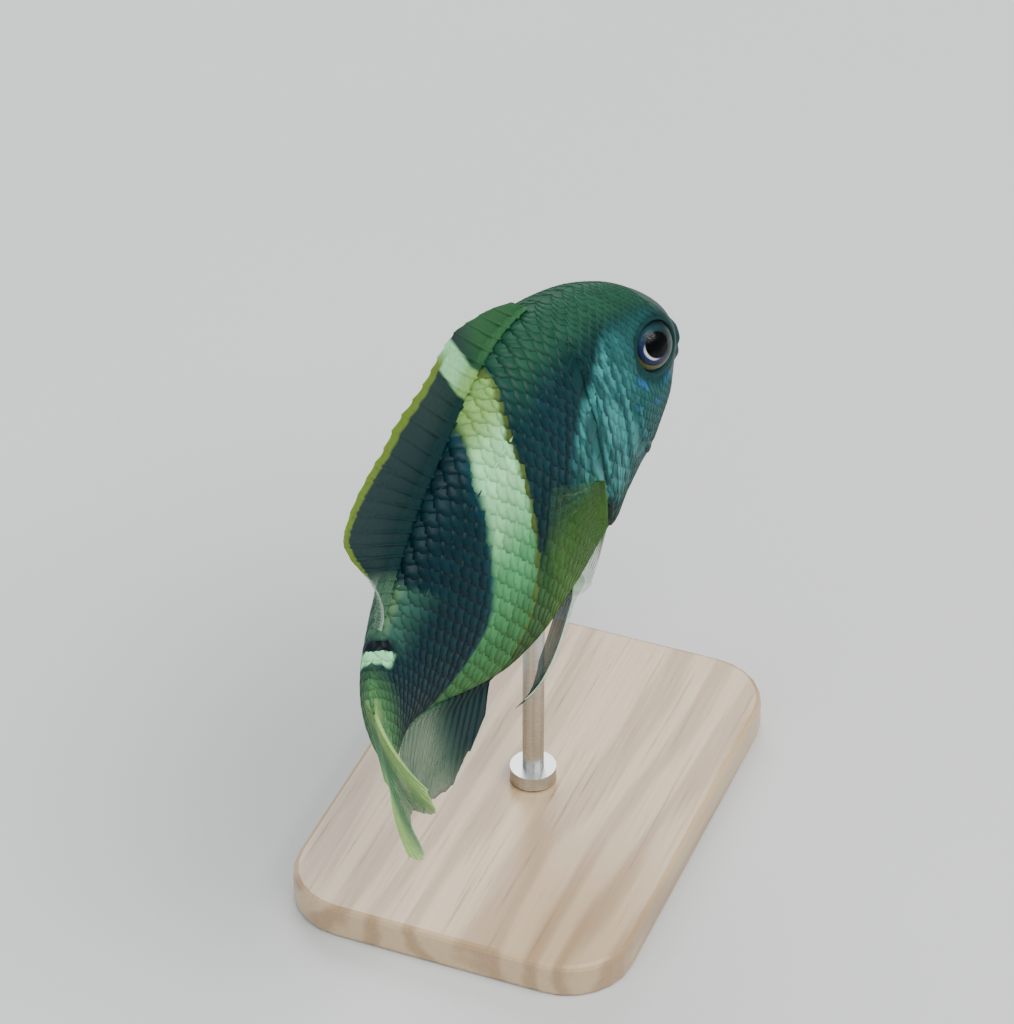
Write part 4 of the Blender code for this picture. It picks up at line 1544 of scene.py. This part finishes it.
@dataclass
class FinPaths:
    """Where each fin's web lies: s, up and right for a share f along the root and x out."""

    body: BodyForm
    spiny_share: float = 0.6
    dorsal_s: tuple[float, float, float] = (0.30, 0.6620, 0.872)
    spiny_at: tuple[float, ...] = (0.0, 0.12, 0.3, 1.0)
    spiny_long: tuple[float, ...] = (0.038, 0.080, 0.118, 0.143)
    spiny_lean: tuple[float, ...] = (0.78, 0.77, 0.74, 0.655)
    soft_at: tuple[float, ...] = (0.0, 0.2, 0.42, 0.55, 0.7, 1.0)
    soft_long: tuple[float, ...] = (0.143, 0.172, 0.205, 0.160, 0.112, 0.068)
    soft_lean: tuple[float, ...] = (0.655, 0.80, 0.95, 0.97, 0.96, 0.95)
    soft_tilt_deg: float = 34.0
    anal_s: tuple[float, float] = (0.625, 0.868)
    anal_at: tuple[float, ...] = (0.0, 0.07, 0.2, 0.5, 0.75, 1.0)
    anal_long: tuple[float, ...] = (0.060, 0.105, 0.142, 0.165, 0.120, 0.062)
    anal_lean: tuple[float, ...] = (0.75, 0.78, 0.83, 0.95, 0.95, 0.95)
    tail_long: float = 0.182
    tail_lobe: float = 0.062
    tail_root_high: float = 0.068
    tail_tip_high: float = 0.052
    tail_end_round: float = 0.55
    tail_twist: float = 0.024
    pectoral_s: float = 0.366
    pectoral_up: float = -0.026
    pectoral_root: float = 0.066
    pectoral_top_deg: float = 32.0
    pectoral_fan_deg: float = 70.0
    pectoral_at: tuple[float, ...] = (0.0, 0.25, 0.6, 1.0)
    pectoral_long: tuple[float, ...] = (0.200, 0.225, 0.185, 0.110)
    pectoral_follow: float = 0.6
    pectoral_proud: float = 0.0095
    pelvic_s: float = 0.385
    pelvic_out: float = 0.052
    pelvic_root: float = 0.027
    pelvic_at: tuple[float, ...] = (0.0, 0.2, 1.0)
    pelvic_long: tuple[float, ...] = (0.252, 0.272, 0.135)
    pelvic_dip: float = 0.044

    def dorsal(self, f: Array, x: Array) -> tuple[Array, Array, Array]:
        """Return the whole dorsal fin, spines first, the rear rays leaning to the right."""
        spiny = f < self.spiny_share
        g = np.where(spiny, f / self.spiny_share, (f - self.spiny_share) / (1 - self.spiny_share))
        first, split, last = self.dorsal_s
        s = np.where(spiny, first + (split - first) * g, split + (last - split) * g)

        def along(spiny_values: Sequence[float], soft_values: Sequence[float]) -> Array:
            """Return a measure that has its own line on the spiny and on the soft part."""
            soft = np.interp(g, self.soft_at, soft_values)
            return np.where(spiny, np.interp(g, self.spiny_at, spiny_values), soft)

        reach = along(self.spiny_long, self.soft_long) * x
        lean = along(self.spiny_lean, self.soft_lean)
        tilt = np.where(spiny, 0.0, math.radians(self.soft_tilt_deg) * smooth_step(g, 0.45, 0.95))
        rise = np.cos(lean) * reach
        inside = np.clip(x, 0.0, None)
        up = self.body.back(s) + self.body.clear + rise - rise * inside * (1 - np.cos(tilt))
        return s + reach * np.sin(lean), up, rise * inside * np.sin(tilt)

    def anal(self, f: Array, x: Array) -> tuple[Array, Array, Array]:
        """Return the anal fin."""
        first, last = self.anal_s
        s = first + (last - first) * f
        reach = np.interp(f, self.anal_at, self.anal_long) * x
        lean = np.interp(f, self.anal_at, self.anal_lean)
        up = self.body.belly(s) - self.body.clear - reach * np.cos(lean)
        return s + reach * np.sin(lean), up, np.zeros_like(x)

    def tail(self, f: Array, x: Array) -> tuple[Array, Array, Array]:
        """Return the tail fin, half closed, with two rounded lobes and a slight twist."""
        across = 2 * f - 1
        out = np.abs(across)
        lobe = smooth_step(out, 0.0, 0.62) - self.tail_end_round * smooth_step(out, 0.72, 1.0)
        reach = self.tail_long + self.tail_lobe * lobe
        root = self.tail_root_high * across
        tip = self.tail_tip_high * across * (1 + 0.12 * np.cos(across * math.pi))
        up = root * (1 + 1.6 * np.minimum(x, 0.0)) + (tip - root) * np.maximum(x, 0.0)
        twist = self.tail_twist * across * signed_power(x, 1.4)
        return 1.0 + self.body.clear + reach * x, up, twist

    def pectoral(self, f: Array, x: Array) -> tuple[Array, Array, Array]:
        """Return the right pectoral fin, spread and laid back along the flank."""
        body = self.body
        up_root = self.pectoral_up - self.pectoral_root * f
        fan = math.radians(self.pectoral_top_deg) - math.radians(self.pectoral_fan_deg) * f
        reach = np.interp(f, self.pectoral_at, self.pectoral_long) * x
        s = self.pectoral_s + reach * np.cos(fan)
        up = up_root + reach * np.sin(fan)
        root_right = body.flank_at(self.pectoral_s, up_root)
        along_flank = self.pectoral_follow * (body.flank_at(s, up) - root_right)
        rise = self.pectoral_proud * smooth_step(x, 0.0, 0.16) + 0.004 * x
        return s, up, root_right + along_flank + body.clear + rise

    def pelvic(self, f: Array, x: Array) -> tuple[Array, Array, Array]:
        """Return the right pelvic fin, folded back under the belly."""
        s = self.pelvic_s + 0.012 * f
        right = self.pelvic_out - self.pelvic_root * f
        reach = np.interp(f, self.pelvic_at, self.pelvic_long) * x
        share = reach / max(self.pelvic_long)
        dip = self.pelvic_dip * (1 - f / 2) * np.sin(math.pi * 0.9 * share)
        up = self.body.belly_at(s, right) - self.body.clear - dip
        return s + reach, up, right + (0.004 + 0.012 * f) * share


@dataclass
class Fin:
    """A fin: a thin web between rays that divide and divide again towards the edge."""

    body: BodyForm
    name: str
    path: FinPath
    nodes: tuple[str, ...]
    finish: FinFinish
    rays: Sequence[float]
    spines: int
    mirror: Side = Side.RIGHT
    web_thick: float = 0.00011
    ray_radius: float = 0.00021
    spine_radius: float = 0.00026
    root_thick: float = 0.0011
    root_reach: float = 0.16
    end_thin: float = 0.6
    sunk_thin: float = 0.85
    spine_taper: float = 0.72
    ray_taper: float = 0.62
    fork_at: float = 0.40
    fork_vary: float = 0.12
    first_fork: float = 0.17
    second_fork: float = 0.075
    notch: float = 0.018
    spine_notch: float = 0.034
    per_gap: int = 14
    rows: int = 64
    inside: float = -0.05
    flutter: float = 0.0
    seed: int = 3

    def _grid(self, rays: Array) -> tuple[Array, Array]:
        """Return the share along the root of each column, and the share out of each of its points."""
        gaps = [np.linspace(a, b, self.per_gap, endpoint=False) for a, b in zip(rays[:-1], rays[1:])]
        f = np.concatenate([*gaps, [rays[-1]]])
        gap = np.clip(np.searchsorted(rays, f, side="right") - 1, 0, len(rays) - 2)
        between = (f - rays[gap]) / (rays[gap + 1] - rays[gap])
        notch = np.where(gap < self.spines, self.spine_notch, self.notch)
        dip = notch * np.sin(math.pi * np.clip(between, 0, 1) ** 0.62)
        out = np.linspace(self.inside, 1.0, self.rows)
        out = np.where(out > 0, out**0.92, out)
        return f, np.where(out[None, :] > 0, out[None, :] * (1.0 - dip[:, None]), out[None, :])

    def build(self) -> bpy.types.Object:
        """Return the fin's mesh, dressed and riding, in place of its CAD nodes."""
        rays = np.asarray(self.rays, float)
        f, x = self._grid(rays)
        grid_f = np.broadcast_to(f[:, None], x.shape)
        s, up, right = self.path(grid_f, x)
        side = self.mirror.value
        lie = np.stack([s, up, right * side], axis=-1)
        middle = self.body.place(s, up, right * side)
        normal = normals_of(middle)
        if self.flutter:
            wave = self.flutter * np.clip(x, 0, 1) ** 2 * np.sin(grid_f * 23.0 + x * 2.0)
            middle = middle + normal * (wave * self.body.length)[..., None]
            normal = normals_of(middle)
        ridge = self._ridges(middle, rays, grid_f, x)
        inner = np.clip(x, 0.0, 1.0)
        root = (self.root_thick - self.web_thick) * (1 - smooth_step(inner, 0.0, self.root_reach))
        sunk = np.clip(x / self.inside, 0.0, 1.0)
        thick = (self.web_thick + root + 2 * ridge) * (1 - self.sunk_thin * sunk)
        thick[[0, -1]] *= self.end_thin
        front = middle + normal * (thick / 2)[..., None]
        rear = middle - normal * (thick / 2)[..., None]
        return self._mesh(front, rear, lie, grid_f, x, middle, ridge)

    def _ridges(self, middle: Array, rays: Array, f: Array, x: Array) -> Array:
        """Return how far the rays stand out of the web."""
        step_f = np.gradient(f, axis=0)
        per_share = np.linalg.norm(np.gradient(middle, axis=0), axis=2) / np.maximum(step_f, 1e-9)
        inner = np.clip(x, 0.0, 1.0)
        ridge = np.zeros(f.shape)
        drawn = np.random.default_rng(self.seed).random(len(rays))
        for number, ray in enumerate(rays):
            gap = rays[min(number + 1, len(rays) - 1)] - ray or ray - rays[number - 1]
            near = np.abs(f[:, 0] - ray) < gap * 0.75
            if number < self.spines:
                radius = self.spine_radius * (1.0 - self.spine_taper * inner[near])
                off = np.abs(f[near] - ray) * per_share[near]
                ridge[near] = np.maximum(ridge[near], np.sqrt(np.clip(radius**2 - off**2, 0, None)))
                continue
            fork = self.fork_at + self.fork_vary * drawn[number]
            first = self.first_fork * gap * smooth_step(inner[near], fork, fork + 0.34)
            second = self.second_fork * gap * smooth_step(inner[near], fork + 0.30, 1.05)
            radius = self.ray_radius * (1.0 - self.ray_taper * inner[near])
            for a in (-1, 1):
                for b in (-1, 1):
                    off = np.abs(f[near] - (ray + a * first + b * second)) * per_share[near]
                    rise = np.sqrt(np.clip(radius**2 - off**2, 0, None))
                    ridge[near] = np.maximum(ridge[near], rise)
        return ridge * smooth_step(1.0 - inner, -0.02, 0.05)

    def _mesh(
        self, front: Array, rear: Array, lie: Array, f: Array, x: Array, middle: Array, ridge: Array
    ) -> bpy.types.Object:
        """Return the closed mesh of both faces and the edge between them."""
        columns, rows = f.shape
        half = columns * rows
        near_face = grid_faces(columns, rows)
        far_face = near_face[:, ::-1] + half
        loop = rim_of(columns, rows)
        turn = np.roll(loop, -1)
        edge = np.stack([turn, loop, loop + half, turn + half], axis=1)
        steps = np.linalg.norm(np.diff(middle, axis=1), axis=2)
        along = np.concatenate([np.zeros((columns, 1)), np.cumsum(steps, axis=1)], axis=1)
        to_edge = (along[:, -1:] - along) / self.body.length
        ray_mark = np.clip(ridge / (self.ray_radius * 0.5), 0.0, 1.0)
        marks = {
            "lie": lie,
            "web": np.stack([f, np.clip(x, 0, 1), to_edge], axis=-1),
            "ray": np.stack([ray_mark, along / self.body.length, np.zeros(f.shape)], axis=-1),
        }
        both = {name: np.tile(numbers.reshape(-1, 3), (2, 1)) for name, numbers in marks.items()}
        share = (f - f.min()) / (f.max() - f.min())
        out = (x - x.min()) / (x.max() - x.min())
        flat = np.stack([0.02 + 0.96 * share, 0.01 + 0.47 * out], axis=-1).reshape(-1, 2)
        flat = np.vstack([flat, flat + [0.0, 0.5]])
        points = np.concatenate([front.reshape(-1, 3), rear.reshape(-1, 3)])
        quads = np.vstack([near_face, far_face, edge])
        obj = make_mesh(self.name, points, quads, None, both, flat)
        outward_side_out(obj)
        obj.data.materials.append(self.finish.material())
        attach(obj, BODY)
        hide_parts(*self.nodes)
        log.info("%s: %d rays, %d faces", self.name, len(self.rays), len(obj.data.polygons))
        return obj


def outward_side_out(obj: bpy.types.Object) -> None:
    """Turn a closed mesh's faces over if they point inward."""
    mesh = obj.data
    count = len(mesh.polygons)
    centre = np.empty(count * 3, np.float32)
    normal = np.empty(count * 3, np.float32)
    area = np.empty(count, np.float32)
    mesh.polygons.foreach_get("center", centre)
    mesh.polygons.foreach_get("normal", normal)
    mesh.polygons.foreach_get("area", area)
    flow = np.sum(centre.reshape(-1, 3) * normal.reshape(-1, 3), axis=1) @ area
    if flow < 0:
        mesh.flip_normals()


# Eyes


@dataclass
class Eye:
    """One eye: the ball with its iris turned a little back, and the clear cornea."""

    body: BodyForm
    side: Side
    ball_finish: EyeFinish
    cornea_finish: CorneaFinish
    look_back: float = 0.28
    look_up: float = 0.42
    iris_angle: float = 60.0
    ball_share: float = 0.972
    dish_depth: float = 0.014
    pupil_sink: float = 0.006
    cornea_thick: float = 0.012

    def _frame(self) -> tuple[Array, Array]:
        """Return the eye's middle and its axes: ahead, up and outward, as columns."""
        side = self.side.value
        axes = self.body.axes(self.body.eye_s)
        ahead, left, up = axes[:, 0], axes[:, 1], axes[:, 2]
        centre = self.body.place(self.body.eye_s, self.body.eye_up, side * self.body.eye_out)
        return centre, np.stack([ahead, up, -left * side], axis=1)

    def _shell(self, rings: Array, around: int, radius: Callable[[Array], Array]) -> tuple[Array, Array]:
        """Return points of a shell about the line of sight, and their marks."""
        look = np.array([-self.look_back, self.look_up, 1.0])
        look /= np.linalg.norm(look)
        first = np.cross(np.array([0.0, 1.0, 0.0]), look)
        first /= np.linalg.norm(first)
        second = np.cross(look, first)
        turn = np.linspace(0, 2 * math.pi, around, endpoint=False)
        theta = rings[:, None]
        direction = (
            look * np.cos(theta)[..., None]
            + first * (np.sin(theta) * np.cos(turn))[..., None]
            + second * (np.sin(theta) * np.sin(turn))[..., None]
        )
        wide, deep = self.body.eye_radius, self.body.eye_depth
        local = direction * (self.body.length * np.array([wide, wide, deep])) * radius(theta)[..., None]
        marks = np.stack(
            np.broadcast_arrays(
                np.sin(np.minimum(theta, math.pi / 2)) / math.sin(math.radians(self.iris_angle)),
                -np.cos(turn)[None, :],
                np.sin(turn)[None, :],
            ),
            axis=-1,
        )
        centre, axes = self._frame()
        return centre + local @ axes.T, marks

    def _close(self, name: str, places: Array, marks: Array) -> bpy.types.Object:
        """Return a closed round mesh from rings that begin and end near a pole."""
        rings, around = places.shape[:2]
        points = np.vstack([places.reshape(-1, 3), places[0].mean(axis=0), places[-1].mean(axis=0)])
        numbers = np.vstack([marks.reshape(-1, 3), [[0, 1, 0]], marks[-1][:1]])
        quads = grid_faces(rings, around, closed=True)
        obj = make_mesh(name, points, quads, end_fans(rings, around), {"iris": numbers})
        outward_side_out(obj)
        return obj

    def build(self) -> list[bpy.types.Object]:
        """Return the eyeball and the cornea, dressed and riding."""
        iris = math.radians(self.iris_angle)
        rings = np.concatenate(
            [np.linspace(0.02, iris * 1.1, 60), np.linspace(iris * 1.15, math.pi - 0.05, 22)]
        )

        def ball(theta: Array) -> Array:
            """Return the ball's radius: the iris is a shallow dish round the bulging pupil."""
            share = np.sin(np.minimum(theta, math.pi / 2)) / math.sin(iris)
            dish = smooth_step(share, 0.54, 0.80) * (1 - smooth_step(share, 0.86, 1.04))
            pupil = 1 - smooth_step(share, 0.0, 0.5)
            return self.ball_share - self.dish_depth * dish - self.pupil_sink * pupil

        def dome(theta: Array) -> Array:
            """Return the cornea's outer radius."""
            return 0.994 + 0.010 * (1 - smooth_step(theta, 0.0, iris))

        eyeball = self._close("eyeball_" + self.side.word, *self._shell(rings, 96, ball))
        eyeball.data.materials.append(self.ball_finish.material())
        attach(eyeball, BODY)
        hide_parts("eye_" + self.side.word)
        outer, marks = self._shell(np.linspace(0.02, iris * 1.22, 40), 72, dome)
        inner, inner_marks = self._shell(
            np.linspace(iris * 1.22, 0.02, 20), 72, lambda theta: dome(theta) - self.cornea_thick
        )
        cornea = self._close(
            "cornea_" + self.side.word, np.vstack([outer, inner]), np.vstack([marks, inner_marks])
        )
        cornea.data.materials.append(self.cornea_finish.material())
        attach(cornea, BODY)
        log.info("eye %s: eyeball and cornea", self.side.word)
        return [eyeball, cornea]


# Stand and studio


@dataclass
class Stand:
    """The plain display stand, whose CAD nodes stay and are dressed."""

    wood: WoodFinish
    steel: SteelFinish

    def dress(self, nodes: dict[str, bpy.types.Object]) -> None:
        """Give the base and the rod their finishes.

        Args:
            nodes: The CAD nodes by name.
        """
        for name, material, slot in (
            ("stand_base", self.wood.material(), "base_wood"),
            ("stand_rod", self.steel.material(), "rod_steel"),
        ):
            node = nodes[name]
            node.data.materials.clear()
            node.data.materials.append(material)
            log.info("%s: dressed", name)


@dataclass(frozen=True)
class Lamp:
    """A soft square light and the direction it shines from."""

    name: str
    direction: tuple[float, float, float]
    size: float
    watts: float
    tint: Colour


@dataclass
class Studio:
    """Pale floor, soft light and the camera at the photograph's angle."""

    body: BodyForm
    floor_finish: FloorFinish
    azimuth_deg: float = -68.33
    elevation_deg: float = 37.05
    distance: float = 5.895774
    focal_px: float = 4161.7
    image_size: tuple[int, int] = (1014, 1024)
    middle_px: tuple[float, float] = (495.08, 513.39)
    sensor: float = 36.0
    floor_size: float = 6.0
    floor_gap: float = 0.00002
    lamps: tuple[Lamp, ...] = (
        Lamp("key", (-0.25, -0.75, 1.35), 0.70, 11.0, (1.0, 0.99, 0.96)),
        Lamp("fill", (-1.0, 0.35, 0.75), 0.80, 4.0, (0.93, 0.98, 1.0)),
        Lamp("rim", (0.9, 0.5, 0.9), 0.50, 5.0, (0.96, 0.99, 1.0)),
    )
    sky: Colour = (0.80, 0.88, 0.90)
    sky_strength: float = 0.42
    lamp_distance: float = 0.9
    lit_up: float = 0.04

    def floor(self) -> bpy.types.Object:
        """Return the floor, which isn't part of the object."""
        half = self.floor_size / 2
        points = np.array([[-half, -half, 0], [half, -half, 0], [half, half, 0], [-half, half, 0]])
        obj = make_mesh("floor", points - [0, 0, self.floor_gap], np.array([[0, 1, 2, 3]]))
        obj.data.materials.append(self.floor_finish.material())
        return obj

    def light(self, lamp: Lamp) -> None:
        """Add a soft square light that shines on the fish."""
        data = bpy.data.lights.new(lamp.name, "AREA")
        data.shape = "SQUARE"
        data.size = lamp.size
        data.energy = lamp.watts
        data.color = lamp.tint
        obj = bpy.data.objects.new(lamp.name, data)
        towards = Vector(lamp.direction).normalized()
        obj.location = Vector((0.0, 0.0, self.lit_up)) + towards * self.lamp_distance
        obj.rotation_mode = "QUATERNION"
        obj.rotation_quaternion = towards.to_track_quat("Z", "Y")
        bpy.context.scene.collection.objects.link(obj)

    def lights(self) -> None:
        """Add the lamps and the pale surroundings."""
        for lamp in self.lamps:
            self.light(lamp)
        world = bpy.data.worlds.new("studio")
        bpy.context.scene.world = world
        world.use_nodes = True
        back = world.node_tree.nodes["Background"]
        back.inputs["Color"].default_value = (*self.sky, 1.0)
        back.inputs["Strength"].default_value = self.sky_strength

    def camera(self) -> None:
        """Add the camera where the photograph was taken from."""
        azimuth, elevation = math.radians(self.azimuth_deg), math.radians(self.elevation_deg)
        towards = Vector(
            (
                math.sin(azimuth) * math.cos(elevation),
                -math.cos(azimuth) * math.cos(elevation),
                math.sin(elevation),
            )
        )
        turn = towards.to_track_quat("Z", "Y")
        across, upward, _ = turn.to_matrix().col
        distance = self.distance * self.body.length
        wide, high = self.image_size
        per_px = distance / self.focal_px
        middle = Vector(self.body.place(0.5, 0.0, 0.0))
        data = bpy.data.cameras.new("camera")
        data.sensor_width = self.sensor
        data.lens = self.focal_px * self.sensor / max(wide, high)
        data.clip_start = 0.01
        obj = bpy.data.objects.new("camera", data)
        obj.location = (
            middle
            + towards * distance
            - across * ((self.middle_px[0] - wide / 2) * per_px)
            - upward * ((high / 2 - self.middle_px[1]) * per_px)
        )
        obj.rotation_mode = "QUATERNION"
        obj.rotation_quaternion = turn
        bpy.context.scene.collection.objects.link(obj)
        bpy.context.scene.camera = obj


# The whole model


def build_fins(body: BodyForm, markings: Markings) -> list[bpy.types.Object]:
    """Return the seven fins, dressed and riding.

    Args:
        body: The fish's shape.
        markings: Its colours.

    Returns:
        The fins' objects.
    """
    paths = FinPaths(body)
    share = paths.spiny_share
    spines = [share * k / 12 for k in range(13)]
    soft = [share + (1 - share) * (k + 1) / 13 for k in range(13)]
    made = [
        Fin(
            body, "dorsal_fin", paths.dorsal, ("dorsal_fin_spiny", "dorsal_fin_soft"),
            FinFinish(Web.DORSAL, markings), spines + soft, 13, flutter=0.0022,
        ).build(),
        Fin(
            body, "anal_fin_web", paths.anal, ("anal_fin",), FinFinish(Web.ANAL, markings),
            np.linspace(0, 1, 15), 2, flutter=0.0030, spine_notch=0.06,
        ).build(),
        Fin(
            body, "tail_fin_web", paths.tail, ("tail_fin",), FinFinish(Web.TAIL, markings),
            np.linspace(0, 1, 17), 0, root_thick=0.0013, per_gap=16, inside=-0.06, notch=0.015,
            flutter=0.0018,
        ).build(),
    ]
    for side in Side:
        made.append(
            Fin(
                body, "pectoral_web_" + side.word, paths.pectoral, ("pectoral_fin_" + side.word,),
                FinFinish(Web.PECTORAL, markings, ray_hold=0.45), np.linspace(0, 1, 17), 1, mirror=side,
                per_gap=12, rows=56, ray_radius=0.00013, spine_radius=0.00015, web_thick=0.00007,
                spine_notch=0.02, notch=0.015, inside=-0.02,
            ).build()
        )
        made.append(
            Fin(
                body, "pelvic_web_" + side.word, paths.pelvic, ("pelvic_fin_" + side.word,),
                FinFinish(Web.PELVIC, markings), np.linspace(0, 1, 6), 1, mirror=side,
                per_gap=16, rows=60, ray_radius=0.00017, spine_radius=0.00022, web_thick=0.00009,
                spine_notch=0.03, notch=0.02, inside=-0.03,
            ).build()
        )
    return made


def main() -> None:
    """Build the studio, then each part of the fish in order."""
    logging.basicConfig(level=logging.INFO, format="%(name)s: %(message)s")
    body = BodyForm()
    studio = Studio(body, FloorFinish())
    studio.camera()
    studio.floor()
    studio.lights()
    markings = Markings()
    head = HeadForms(body)
    skin = Skin(body, head, SkinFinish(markings))
    skin.build()
    for side in Side:
        coat = ScaleCoat(body, skin, side, ScaleFinish(markings))
        coat.build()
        LateralLine(body, coat, side, ScaleFinish(markings)).build()
        Eye(body, side, EyeFinish(), CorneaFinish()).build()
    build_fins(body, markings)
    Stand(WoodFinish(), SteelFinish()).dress(frame["nodes"])


if __name__ == "__main__":
    main()
